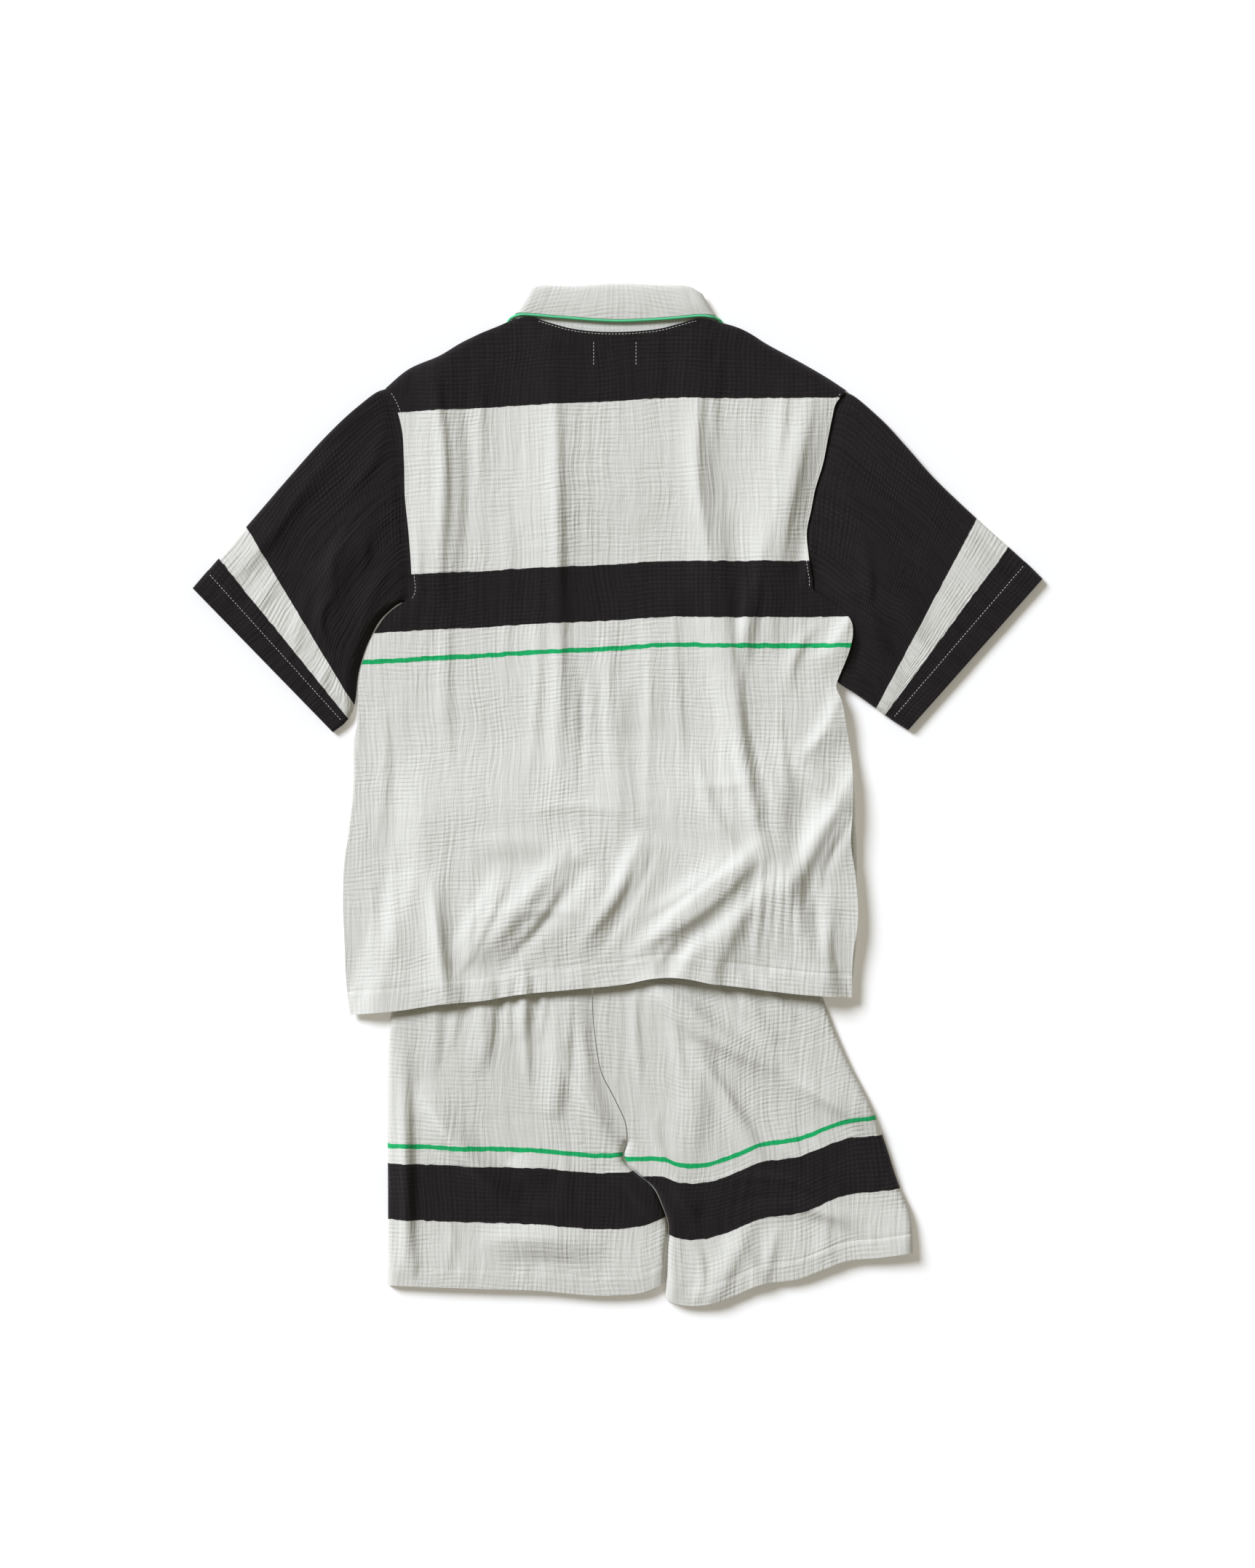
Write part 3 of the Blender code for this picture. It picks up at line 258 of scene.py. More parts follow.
LEG_FOLDS = [
    (-234, -262, -226, -400, -216, -500, 6, 12, 3.0, 0, 0.6),
    (-208, -300, -156, -382, -104, -424, 14, 18, 5.0),
    (-144, -190, -142, -250, -146, -300, 7, 12, 4.0, 0.3, 0),
    (-100, -190, -100, -230, -104, -262, 7, 10, 3.6, 0.3, 0),
    (-64, -190, -64, -300, -68, -345, 8, 12, 4.5, 0.3, 0),
    (-40, -190, -34, -280, -6, -352, 8, 10, 4.0, 0.3, 0),
    (-152, -478, -82, -474, -8, -488, 14, 12, 4.0),
    (42, -190, 96, -246, 250, -340, 12, 24, 6.5, 0.3, 0.2),
    (70, -200, 84, -310, 62, -430, 14, 18, 4.0, 0.3, 0),
    (104, -418, 170, -410, 236, -436, 8, 8, 2.6),
    (116, -452, 190, -440, 262, -462, 9, 9, 2.4, 0, 0.2),
    (148, -440, 124, -490, 104, -530, 10, 14, 4.0, 0, 0.8),
    (128, -190, 150, -240, 176, -262, 8, 12, 3.0, 0.3, 0),
]

# Creases too narrow for the solids, in the same form as the folds
BACK_CREASES = [  # x1, y1, x2, y2, x3, y3, left, right, height, start, end
    (-200, 452, -183, 345, -196, 150, 4, 9, 2.2, 0.3, 0),
    (-172, 440, -166, 330, -176, 236, 5, 7, 1.1),
    (-176, 210, -182, 120, -176, 20, 5, 9, 1.5),
    (-214, 300, -210, 230, -216, 170, 4, 6, 1.2),
    (-150, 470, -144, 400, -150, 310, 5, 8, 1.2),
    (-66, 486, -60, 250, -58, 20, 4, 9, 1.8, 0.4, 0),
    (-86, 250, -84, 130, -92, 10, 4, 7, 1.2),
    (-118, 330, -116, 220, -122, 90, 5, 8, 1.1),
    (-46, 140, -44, 70, -46, 4, 5, 8, 1.8),
    (-6, 190, -8, 120, -4, 20, 5, 8, 1.5),
    (30, 210, 34, 100, 30, -30, 4, 7, 1.2),
    (62, 240, 64, 120, 76, -20, 5, 8, 1.3),
    (90, 430, 84, 350, 96, 262, 4, 8, 1.8, 0.2, 0),
    (112, 474, 104, 420, 108, 350, 4, 7, 1.3, 0.2, 0),
    (140, 232, 137, 194, 133, 150, 3.5, 6, 2.2),
    (163, 306, 148, 214, 133, 112, 5, 9, 1.8),
    (128, 130, 134, 50, 156, -62, 4, 8, 2.2, 0, 0.2),
    (112, 110, 116, 40, 132, -40, 4, 8, 1.2),
    (208, 416, 186, 320, 170, 226, 5, 12, 2.4, 0.2, 0),
    (222, 330, 208, 262, 188, 196, 4, 7, 1.4, 0.2, 0),
    (186, 452, 176, 400, 172, 330, 5, 8, 1.4, 0.2, 0),
    (246, 194, 240, 176, 222, 156, 5, 9, 2.6, 0.3, 0),
    (214, 182, 190, 150, 182, 104, 5, 8, 2.0),
    (240, 118, 226, 84, 196, 34, 5, 9, 2.0),
    (187, 40, 210, 14, 243, -10, 4, 7, 2.2, 0, 0.3),
    (244, -24, 222, -64, 208, -110, 4, 8, 2.6, 0.2, 0),
    (170, 96, 176, 40, 190, -20, 5, 8, 1.4),
    (12, -76, 0, -108, -34, -154, 4, 8, 2.2),
    (30, -60, 20, -96, -4, -140, 4, 7, 1.2),
    (-54, -82, -84, -132, -126, -174, 4, 8, 2.2),
    (-116, -82, -136, -132, -162, -184, 4, 8, 1.8, 0, 0.2),
    (-160, -96, -156, -140, -166, -190, 4, 6, 1.2),
    (152, -62, 98, -112, 26, -164, 5, 9, 2.4),
    (120, -58, 74, -100, 20, -132, 4, 8, 1.4),
    (70, -142, 52, -164, 40, -190, 5, 7, 1.5, 0, 0.4),
    (156, -58, 152, -116, 147, -166, 3, 4.5, 2.4, 0, 0.2),
    (166, -66, 163, -112, 161, -162, 2.8, 3.5, 1.8),
    (175, -66, 173, -116, 171, -168, 2.8, 3.5, 2.0),
    (184, -72, 182, -112, 181, -166, 2.8, 3.5, 1.6),
    (194, -76, 192, -116, 192, -160, 2.8, 3.5, 1.4),
    (-196, -84, -188, -156, -180, -212, 3.5, 7, 2.0, 0, 0.4),
    (-232, -40, -238, -110, -230, -190, 5, 8, 1.3),
    (-252, 96, -246, 30, -256, -60, 5, 8, 1.4),
    (-262, -80, -258, -140, -262, -200, 4, 7, 1.2),
    (-100, -20, -40, -12, 30, -24, 7, 6, 1.1),
    (-150, -130, -80, -122, -24, -130, 6, 5, 1.0),
    (60, 20, 110, 10, 160, 22, 7, 6, 1.0),
    (226, -130, 224, -160, 228, -196, 4, 7, 1.4, 0, 0.2),
]
LEFT_SLEEVE_CREASES = [
    (-318, 366, -364, 318, -406, 272, 5, 8, 1.8, 0, 0.2),
    (-274, 290, -302, 246, -296, 214, 5, 8, 2.0),
    (-296, 216, -314, 188, -303, 152, 4, 8, 2.2),
    (-262, 276, -268, 258, -262, 240, 5, 9, 1.8),
    (-330, 330, -372, 270, -414, 224, 5, 8, 1.2, 0, 0.2),
    (-280, 380, -330, 330, -350, 296, 5, 8, 1.2),
    (-246, 392, -262, 350, -296, 310, 5, 9, 1.4, 0.2, 0),
    (-240, 250, -262, 206, -274, 170, 5, 8, 1.6, 0.2, 0),
    (-350, 250, -372, 216, -392, 190, 5, 8, 1.2),
    (-324, 230, -336, 180, -352, 140, 5, 8, 1.2),
    (-300, 150, -312, 124, -318, 100, 5, 7, 1.2, 0, 0.3),
]
RIGHT_SLEEVE_CREASES = [
    (256, 280, 268, 232, 262, 200, 5, 10, 2.4),
    (262, 206, 276, 180, 288, 150, 5, 8, 1.8),
    (236, 330, 262, 300, 300, 270, 5, 8, 1.4, 0.2, 0),
    (300, 352, 350, 300, 398, 256, 5, 8, 1.3, 0, 0.2),
    (262, 386, 300, 340, 330, 312, 5, 8, 1.2),
    (316, 262, 346, 214, 378, 180, 5, 8, 1.3),
    (296, 216, 318, 172, 340, 138, 5, 8, 1.3, 0, 0.2),
    (222, 236, 242, 220, 262, 214, 5, 8, 1.6, 0.3, 0),
    (350, 300, 384, 262, 420, 226, 5, 7, 1.0, 0, 0.3),
]
LEG_CREASES = [
    (-225, -262, -222, -380, -226, -498, 4, 8, 2.0, 0, 0.4),
    (-206, -318, -170, -374, -112, -430, 5, 9, 2.2),
    (-134, -196, -133, -240, -138, -286, 4, 6, 2.0, 0.3, 0),
    (-114, -192, -116, -228, -112, -270, 3.5, 5, 1.6, 0.3, 0),
    (-96, -192, -97, -250, -94, -310, 4, 6, 2.2, 0.3, 0),
    (-80, -192, -78, -226, -82, -262, 3.5, 5, 1.5, 0.3, 0),
    (-51, -192, -52, -260, -56, -330, 4, 7, 2.2, 0.3, 0),
    (-172, -192, -170, -230, -176, -272, 4, 6, 1.4, 0.3, 0),
    (-194, -200, -192, -256, -198, -306, 4, 7, 1.3, 0.3, 0),
    (-54, -282, -32, -328, 4, -372, 4, 8, 2.4),
    (-112, -386, -96, -404, -72, -412, 6, 9, 1.8),
    (-140, -487, -80, -484, -18, -496, 6, 8, 1.8),
    (-120, -446, -70, -440, -10, -452, 6, 8, 1.2),
    (6, -404, 26, -430, 46, -462, 5, 8, 1.6),
    (-190, -430, -176, -462, -182, -506, 4, 7, 1.3, 0, 0.3),
    (-60, -360, -54, -420, -66, -470, 5, 8, 1.1),
    (38, -196, 84, -244, 184, -298, 5, 10, 2.6, 0.2, 0),
    (184, -298, 232, -330, 276, -360, 5, 9, 2.0, 0, 0.3),
    (86, -282, 118, -322, 166, -404, 5, 9, 2.0),
    (60, -210, 64, -260, 72, -312, 4, 7, 1.8, 0.3, 0),
    (104, -192, 118, -216, 150, -240, 4, 6, 1.6, 0.3, 0),
    (156, -192, 170, -216, 196, -240, 4, 6, 1.4, 0.3, 0),
    (22, -200, 20, -250, 26, -310, 4, 6, 1.6, 0.3, 0),
    (102, -414, 168, -406, 238, -436, 4, 5, 1.8),
    (110, -428, 172, -421, 244, -449, 4, 5, 1.5),
    (120, -444, 186, -434, 256, -462, 4, 5, 1.3, 0, 0.2),
    (62, -420, 74, -434, 90, -446, 5, 8, 2.0),
    (76, -470, 90, -500, 86, -534, 4, 7, 1.6, 0, 0.5),
    (170, -456, 164, -486, 158, -516, 4, 7, 1.4, 0, 0.5),
    (226, -440, 222, -470, 228, -496, 4, 7, 1.3, 0, 0.5),
    (200, -350, 232, -386, 286, -420, 5, 8, 1.4, 0, 0.2),
    (42, -330, 46, -380, 70, -410, 5, 8, 1.4),
    (140, -350, 190, -384, 250, -404, 6, 8, 1.2),
]
# The hidden fronts, which lie on the surface: low troughs that lift the cloth a little
FRONT_CREASES = [
    (-190, 300, -176, 120, -190, -60, 8, 12, 1.2),
    (-110, 240, -90, 60, -120, -150, 8, 12, 1.3),
    (-232, -20, -226, -110, -234, -190, 6, 9, 1.0),
    (-60, 210, -56, 120, -62, 20, 6, 9, 0.9),
    (176, 330, 190, 150, 176, -40, 8, 12, 1.3),
    (96, 220, 110, 40, 90, -140, 8, 12, 1.2),
    (226, 20, 222, -80, 228, -170, 6, 9, 1.0),
    (52, 200, 56, 60, 50, -60, 6, 9, 0.9),
    (-160, -80, -110, -120, -60, -170, 8, 10, 1.1),
    (170, -70, 120, -120, 60, -170, 8, 10, 1.1),
]
LEG_FRONT_CREASES = [
    (-190, -200, -176, -320, -196, -470, 7, 10, 1.0),
    (-120, -180, -110, -300, -130, -440, 7, 10, 1.1),
    (-60, -170, -56, -250, -66, -340, 6, 9, 1.0),
    (-150, -500, -70, -470, 10, -480, 8, 10, 1.0),
    (60, -180, 84, -300, 76, -420, 7, 10, 1.1),
    (130, -180, 160, -300, 190, -430, 7, 10, 1.1),
    (220, -290, 236, -360, 256, -440, 6, 9, 1.0),
    (90, -480, 160, -462, 240, -470, 8, 10, 1.0),
]
# The drops that shade the back of the shirt and the shorts most
BACK_DROPS = [
    (108, 130, 131, 40, 158, -74, 16, 7, 6.0),
    (124, 124, 146, 40, 170, -60, 7, 14, -3.0),
    (256, 30, 222, -36, 172, -118, 26, 8, 8.5, 0.3, 0),
    (256, -2, 228, -54, 186, -132, 8, 16, -4.5, 0.3, 0),
    (166, -40, 96, -106, 0, -184, 40, 8, 9.5),
    (172, -66, 114, -124, 28, -192, 8, 14, -5.0),
    (30, -36, 2, -96, -50, -188, 26, 7, 7.5),
    (38, -54, 14, -108, -30, -184, 7, 12, -4.0),
    (-34, -38, -90, -112, -166, -192, 34, 11, 8.0),
    (-20, -54, -70, -124, -138, -198, 10, 16, -4.0),
    (-118, -70, -142, -120, -176, -180, 20, 9, 4.0),
    (-62, 172, -60, 80, -64, -20, 26, 11, 4.6),
    (-44, 150, -40, 80, -44, 0, 10, 22, -2.6),
    (-64, 486, -62, 330, -60, 190, 24, 11, 3.4, 0.3, 0),
    (-190, 462, -176, 330, -190, 130, 16, 9, 4.4, 0.4, 0),
    (-172, 440, -160, 330, -172, 150, 9, 18, -2.4, 0.2, 0),
    (92, 436, 92, 330, 112, 170, 16, 9, 4.2, 0.2, 0),
    (146, 232, 139, 190, 131, 140, 9, 6, 3.4),
    (212, 428, 184, 300, 168, 150, 15, 9, 5.5, 0.3, 0),
    (232, 400, 204, 300, 184, 170, 8, 14, -3.0, 0.2, 0),
    (250, 190, 238, 160, 200, 140, 14, 7, 5.0, 0.4, 0),
    (236, 104, 226, 70, 186, 34, 16, 8, 4.6, 0.2, 0),
    (82, 62, 104, -22, 154, -80, 7, 9, 2.8),
    (-194, -66, -188, -150, -178, -218, 10, 8, 3.4, 0, 0.6),
    (-48, -60, -34, -66, -16, -80, 12, 7, 3.2),
    (-30, 150, -28, 80, -34, 0, 8, 9, 1.6),
    (96, -142, 80, -166, 64, -196, 14, 7, 4.0, 0, 0.7),
    (228, -90, 222, -140, 226, -200, 12, 7, 4.0, 0, 0.5),
    (44, 230, 40, 120, 46, 20, 14, 9, 1.8),
]
LEG_DROPS = [
    (-228, -262, -224, -390, -222, -500, 7, 7, 3.4, 0.2, 0.6),
    (-212, -308, -168, -374, -104, -432, 13, 10, 5.5),
    (-52, -270, -28, -326, 6, -372, 9, 8, 5.0),
    (-146, -474, -86, -470, -14, -484, 13, 9, 5.0),
    (-112, -384, -92, -398, -66, -404, 11, 8, 4.2),
    (34, -194, 92, -246, 190, -296, 12, 10, 5.0, 0.2, 0),
    (176, -290, 228, -322, 272, -348, 11, 10, 5.0, 0, 0.3),
    (80, -262, 112, -316, 160, -402, 10, 9, 4.6),
    (60, -404, 72, -428, 92, -444, 9, 8, 3.6),
    (-8, -398, 22, -424, 50, -456, 9, 8, 3.2),
    (180, -420, 210, -440, 262, -452, 9, 8, 3.2),
    (110, -470, 140, -492, 150, -526, 9, 8, 3.2, 0, 0.6),
]

# Colours, and the printed bands: where they start and end in mm above the hem of a panel, or from
# the armhole on a sleeve
OFF_WHITE = (0.74, 0.732, 0.685)
# The same off-white painted darker for the shorts: painted shade for the dimmer light that falls on
# them
PAINTED_SHADE_WHITE = (0.69, 0.682, 0.632)
INK = (0.0042, 0.0018, 0.0021)
LINT_AND_SHEEN = (0.52, 0.46, 0.47)  # the pale fibres that show on black cloth, also mixed in on the crinkle's crests as painted sheen
LEAF_GREEN = (0.001, 0.42, 0.125)
PIPING_GREEN = (0.13, 0.72, 0.35)
THREAD = (0.84, 0.84, 0.80)
SHELL = (0.80, 0.78, 0.72)
SHIRT_BANDS = [(405, 465, INK), (372, 377, LEAF_GREEN), (638, 900, INK)]
SLEEVE_BANDS = [(214, 256, OFF_WHITE)]
LEG_BANDS = [(70, 130, INK), (146, 151, LEAF_GREEN)]

# The gauze's surface in mm: how far the raised lines of its grid lie apart, the grain of its
# waviness, and how high its crinkles, the lines of the grid and the weave stand
WARP_PITCH, WEFT_PITCH = 4.9, 4.6
WANDER_GRAIN = 1000 / 9
WARP_RISE, FINE_RISE, WEFT_RISE = 0.26, -0.17, -0.20
WARP_LINE_RISE, WEFT_LINE_RISE, WEAVE_RISE = 0.085, 0.10, 0.10

# Floor, light and camera, in metres
FLOOR_REACHES, FLOOR_Z = (4, 400), -0.0004
FLOOR_GLOW, FLOOR_GLOW_STRENGTH = (1, 0.92, 0.85, 1), 0.15
SKY_COLOUR, SKY_STRENGTH = (1, 0.95, 0.73, 1), 0.235
SUN_COLOUR, SUN_ENERGY, SUN_ANGLE = (0.957, 1.0, 1.10), 3.5, math.radians(24)
SUN_DIRECTION = (0.60, -0.52, -0.59)
SENSOR_WIDTH, LENS = 36, 86.2  # in mm
NEAREST, FARTHEST = 0.1, 1000
EYE = (0.0105, 0.0112, 4.0)


def deeper(table, share):
    """A table of folds with their heights multiplied."""
    return [(*row[:8], row[8] * share, *row[9:]) for row in table]


def broader(table, share, least):
    """A table of folds with both flanks widened where a fold is least or more high."""
    return [
        (*row[:6], row[6] * share, row[7] * share, *row[8:]) if abs(row[8]) >= least else row
        for row in table
    ]


# All the forms of each part, folds and creases together
BACK_RELIEF = deeper(BACK_FOLDS, 1.1) + deeper(BACK_CREASES, 1.4) + broader(BACK_DROPS, 1.35, 5)
LEFT_SLEEVE_RELIEF = deeper(LEFT_SLEEVE_FOLDS, 1.3) + deeper(LEFT_SLEEVE_CREASES, 1.7)
RIGHT_SLEEVE_RELIEF = deeper(RIGHT_SLEEVE_FOLDS, 1.3) + deeper(RIGHT_SLEEVE_CREASES, 1.7)
LEG_RELIEF = deeper(LEG_FOLDS, 1.1) + deeper(LEG_CREASES, 1.5) + LEG_DROPS


def through(table, at, column=1):
    """A smooth line through one column of a table, read against its first column."""
    keys = np.array([row[0] for row in table], float)
    values = np.array([row[column] for row in table], float)
    slopes = np.gradient(values, keys)
    at = np.clip(at, keys[0], keys[-1])
    i = np.clip(np.searchsorted(keys, at, side="right") - 1, 0, len(keys) - 2)
    step = keys[i + 1] - keys[i]
    t = (at - keys[i]) / step
    start = values[i] * (1 + 2 * t) * (1 - t) ** 2 + slopes[i] * step * t * (1 - t) ** 2
    return start + values[i + 1] * t * t * (3 - 2 * t) + slopes[i + 1] * step * t * t * (t - 1)


def ease(t):
    """0 before 0 and 1 after 1, with a smooth rise between."""
    t = np.clip(t, 0, 1)
    return t * t * (3 - 2 * t)


def rise(depth, radius):
    """A quarter round from 0 at an edge to 1 at radius inside it."""
    t = np.clip(depth / radius, 0, 1)
    return np.sqrt(np.maximum(1 - (1 - t) ** 2, 0))


def unit(vectors):
    """The same directions, each 1 long."""
    return vectors / np.linalg.norm(vectors, axis=-1, keepdims=True)


def walked(points, axis):
    """How far each point lies along its line or row of points, from 0 at the first."""
    steps = np.linalg.norm(np.diff(points, axis=axis), axis=-1)
    return np.concatenate([0 * steps.take([0], axis), np.cumsum(steps, axis=axis)], axis=axis)


def fold_height(x, y, fold):
    """The height that one fold adds at x, y."""
    x1, y1, x2, y2, x3, y3, left, right, height, start, end = (*fold, 0, 0)[:11]
    t = np.linspace(0, 1, FOLD_STEPS + 1)
    line_x, line_y = (
        a * (1 - t) ** 2 + 2 * (2 * b - (a + c) / 2) * t * (1 - t) + c * t * t
        for a, b, c in ((x1, x2, x3), (y1, y2, y3))
    )
    step_x, step_y = np.diff(line_x), np.diff(line_y)
    from_x, from_y = x[..., None] - line_x[:-1], y[..., None] - line_y[:-1]
    share = np.clip((from_x * step_x + from_y * step_y) / (step_x**2 + step_y**2), 0, 1)
    off_x, off_y = from_x - share * step_x, from_y - share * step_y
    near = np.argmin(off_x**2 + off_y**2, axis=-1)[..., None]
    off_x, off_y, share = (np.take_along_axis(a, near, -1)[..., 0] for a in (off_x, off_y, share))
    near = near[..., 0]
    side = step_x[near] * off_y - step_y[near] * off_x
    width = np.where(side > 0, left, right)
    place = (near + share) / FOLD_STEPS
    low = np.where(place < 0.5, start, end)
    along = low + (1 - low) * np.sin(math.pi * place) ** 1.1
    return height * along * np.exp(-(off_x**2 + off_y**2) / width**2)


def folds(x, y, table):
    """The height that a table of folds adds at x, y. Each is worked out only where it reaches."""
    x, y = np.broadcast_arrays(np.asarray(x, float), np.asarray(y, float))
    total = np.zeros(x.shape)
    for fold in table:
        reach = 2.8 * max(fold[6], fold[7])
        ends_x, ends_y = fold[0:6:2], fold[1:6:2]
        near = (x > min(ends_x) - reach - 20) & (x < max(ends_x) + reach + 20)
        near &= (y > min(ends_y) - reach) & (y < max(ends_y) + reach)
        if near.any():
            total[near] += fold_height(x[near], y[near], fold)
    over = np.maximum(total - FULL_FOLD, 0)
    return np.minimum(total, FULL_FOLD) + FOLD_EXCESS * np.tanh(over / FOLD_EXCESS)


def lattice(u, v, seed):
    """Smooth noise from 0 to 1, one step of the lattice for each 1 of u and v."""
    table = np.random.default_rng(seed).random((LATTICE, LATTICE))
    i, j = np.floor(u).astype(int), np.floor(v).astype(int)
    a, b = ease(u - i), ease(v - j)
    i, j, k, m = i % LATTICE, j % LATTICE, (i + 1) % LATTICE, (j + 1) % LATTICE
    low = table[j, i] * (1 - a) + table[j, k] * a
    return low * (1 - b) + (table[m, i] * (1 - a) + table[m, k] * a) * b


def crumple(u, v, seed):
    """The gauze's own small creases: long ones along the warp, and patches of short weft ones.

    Each divisor is the size of a crease in millimetres, across or along the cloth."""
    bend = 9 * lattice(u / 55, v / 80, seed)
    warp = 1 - np.abs(2 * lattice((u + bend) / 11, v / 80, seed + 1) - 1)
    fine = lattice((u + bend) / 7, v / 60, seed + 2)
    weft = 1 - np.abs(2 * lattice(u / 42, (v + bend) / 10, seed + 3) - 1)
    patch = ease(2.4 * lattice(u / 66, v / 58, seed + 4) - 0.7)
    soft = lattice((u + bend) / 30, v / 74, seed + 5)
    swell = lattice(u / 62, v / 90, seed + 6)
    return (
        0.38 * (warp - 0.5) + 0.35 * (fine - 0.5) + 0.35 * patch * (weft - 0.5)
        + 0.5 * (soft - 0.5) + 1.0 * (swell - 0.5)
    )


def spread(x, y, table, left, right):
    """A table's left, middle and right values at a row y, read across from left to right."""
    u = np.clip((x - left) / (right - left), 0, 1)
    a, b, c = (through(table, y, column) for column in (1, 2, 3))
    return a * (1 - u) * (1 - 2 * u) + 4 * b * u * (1 - u) + c * u * (2 * u - 1)


def leg_outline(y):
    """Outer edges of the shorts at a row y."""
    return through(LEG_LEFT_OUTER, y), through(LEG_RIGHT_OUTER, y)


def leg_top(x, y):
    """Middle of the back of the shorts, before its edges turn down."""
    low = spread(x, y, LEG_HEIGHTS, *leg_outline(y))
    return REST + low + folds(x, y, LEG_RELIEF)


def over_shorts(x, y, ramp):
    """How far a panel of the shirt is lifted by the shorts under it, at the end of its ramp."""
    left, right = leg_outline(y)
    across = ease((x - left + 54) / 40) * ease((right + 32 - x) / 30)
    up = ease((WAIST_TOP_Y + 16 + ramp - y) / ramp)
    shorts = WAIST_HEIGHT + folds(x, y, LEG_RELIEF) * ease((y + 260) / 60)
    shorts = shorts + 1.6 * ease((-180 - y) / 24)
    return across * up * (shorts + PLY_STEP + 0.6)


def over_collar(x, y):
    """How far the front of the shirt is lifted by the collar under it."""
    return COLLAR_LIFT * ease((y - 328) / 16) * ease((156 - np.abs(x)) / 14)


def button_places():
    """x, y of each button on the centre front."""
    rows = [BUTTON_TOP_Y - BUTTON_PITCH * n for n in range(BUTTON_COUNT)]
    return [(float(through(FRONT_CENTRE, y)), y) for y in rows]


def over_buttons(x, y):
    """How far the placket is lifted by the row of buttons under it."""
    away = np.abs(x - through(FRONT_CENTRE, y))
    last = BUTTON_TOP_Y - BUTTON_PITCH * (BUTTON_COUNT - 1)
    along = ease((BUTTON_TOP_Y + BUTTON_ROW_MARGIN - y) / BUTTON_ROW_SLOPE)
    along = along * ease((y - last + BUTTON_ROW_MARGIN) / BUTTON_ROW_SLOPE)
    across = ease((3 * PLACKET_FLAT - away) / (2 * PLACKET_FLAT))
    return along * across * (BUTTON_THICKNESS + BUTTON_CLEARANCE)


def front_top(x, y):
    """Middle of the front of the shirt."""
    lift = np.maximum(over_shorts(x, y, FRONT_RAMP), over_collar(x, y))
    return REST + np.maximum(lift, over_buttons(x, y))


def back_top(x, y):
    """Middle of the back of the shirt."""
    left, right = through(BACK_LEFT, y), through(BACK_RIGHT, y)
    depth = through(BACK_TOP, x) - y
    calm = SEAM_CALM + (1 - SEAM_CALM) * ease(depth / 22)
    stand = spread(x, y, BACK_HEIGHTS, left, right) + folds(x, y, BACK_RELIEF) * calm
    stand = stand + NECK_LIFT * ease((118 - np.abs(x)) / 80) * ease((y - 240) / 100)
    roll = np.maximum(rise(depth, SHOULDER_ROLL), ease((112 - np.abs(x)) / 12))
    placket = 2 * PLY_STEP * ease((2 * PLACKET_HALF + 6 - np.abs(x)) / 12)
    edge = over_collar(x, y)
    lowest = np.maximum(edge, over_buttons(x, y)) + PLY_STEP + 0.3 + placket
    high = over_shorts(x, y, BACK_RAMP) + np.maximum(stand, lowest * ease(depth / 20))
    return REST + edge + (high - edge) * roll


def sheet_grid(columns, rows, left, right, bottom, top):
    """x, y of a panel whose side edges are left and right, and whose ends are bottom and top."""
    u, v = np.meshgrid(columns, rows)
    sides = []
    for edge in (left, right):
        first, last = through(bottom, edge[0][1]), through(top, edge[-1][1])
        sides.append(through(edge, first + (last - first) * v))
    x = sides[0] + (sides[1] - sides[0]) * u
    start_x = left[0][1] + (right[0][1] - left[0][1]) * u
    end_x = left[-1][1] + (right[-1][1] - left[-1][1]) * u
    low, high = through(bottom, start_x), through(top, end_x)
    return x, low + (high - low) * v


def clustered(count, length, edges):
    """Shares from 0 to 1, with extra lines at the given distances from each end."""
    inner = np.linspace(0, 1, count)
    ends = np.array(edges) / length
    keep = inner[(inner > ends[-1] * 1.5) & (inner < 1 - ends[-1] * 1.5)]
    return np.concatenate([ends, keep, 1 - ends[::-1]])


def normals_of(middle, closed):
    """Unit normals of a grid of points."""
    if closed:
        across = np.roll(middle, -1, axis=1) - np.roll(middle, 1, axis=1)
    else:
        across = np.gradient(middle, axis=1)
    return unit(np.cross(across, np.gradient(middle, axis=0)))


def grid_quads(rows, columns, closed):
    """Quads of a grid of points, and the same quads in a grid of map points, which isn't closed."""
    across = columns if closed else columns - 1
    j, i = (a.reshape(-1) for a in np.meshgrid(range(rows - 1), range(across), indexing="ij"))
    k, wide = i + 1, columns + int(closed)
    low, high = j * columns, (j + 1) * columns
    points = np.stack([low + i, low + k % columns, high + k % columns, high + i], axis=-1)
    marks = np.stack([j * wide + i, j * wide + k, (j + 1) * wide + k, (j + 1) * wide + i], axis=-1)
    return points, marks


def rim_quads(points, marks, count):
    """Quads that join the two skins of a wall along one edge."""
    a, b = points[:-1], points[1:]
    c, d = marks[:-1], marks[1:]
    return np.stack([a, b, b + count, a + count], axis=-1), np.stack([c, d, d, c], axis=-1)


def volume_of(points, faces):
    """Six times the volume inside the quads, below 0 if they face inwards."""
    a, b, c, d = (points[faces[:, k]] for k in range(4))
    return (np.cross(b, c) * a).sum() + (np.cross(c, d) * a).sum()


def placed(points):
    """Points of the tables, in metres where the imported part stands."""
    return points * MM + SHIFT


def linked(name, data):
    """A new object in the scene."""
    made = bpy.data.objects.new(name, data)
    bpy.context.scene.collection.objects.link(made)
    return made


def made_mesh(name, points, faces, material, corners=None):
    """One smooth object from points in metres, and the map of its cloth from corners in mm."""
    mesh = bpy.data.meshes.new(name)
    mesh.from_pydata(points.tolist(), [], faces)
    if corners is not None:
        marks = (corners * MM).astype(np.float32).reshape(-1)
        mesh.uv_layers.new(name="cloth").uv.foreach_set("vector", marks)
    mesh.shade_smooth()
    mesh.materials.append(material)
    return linked(name, mesh)


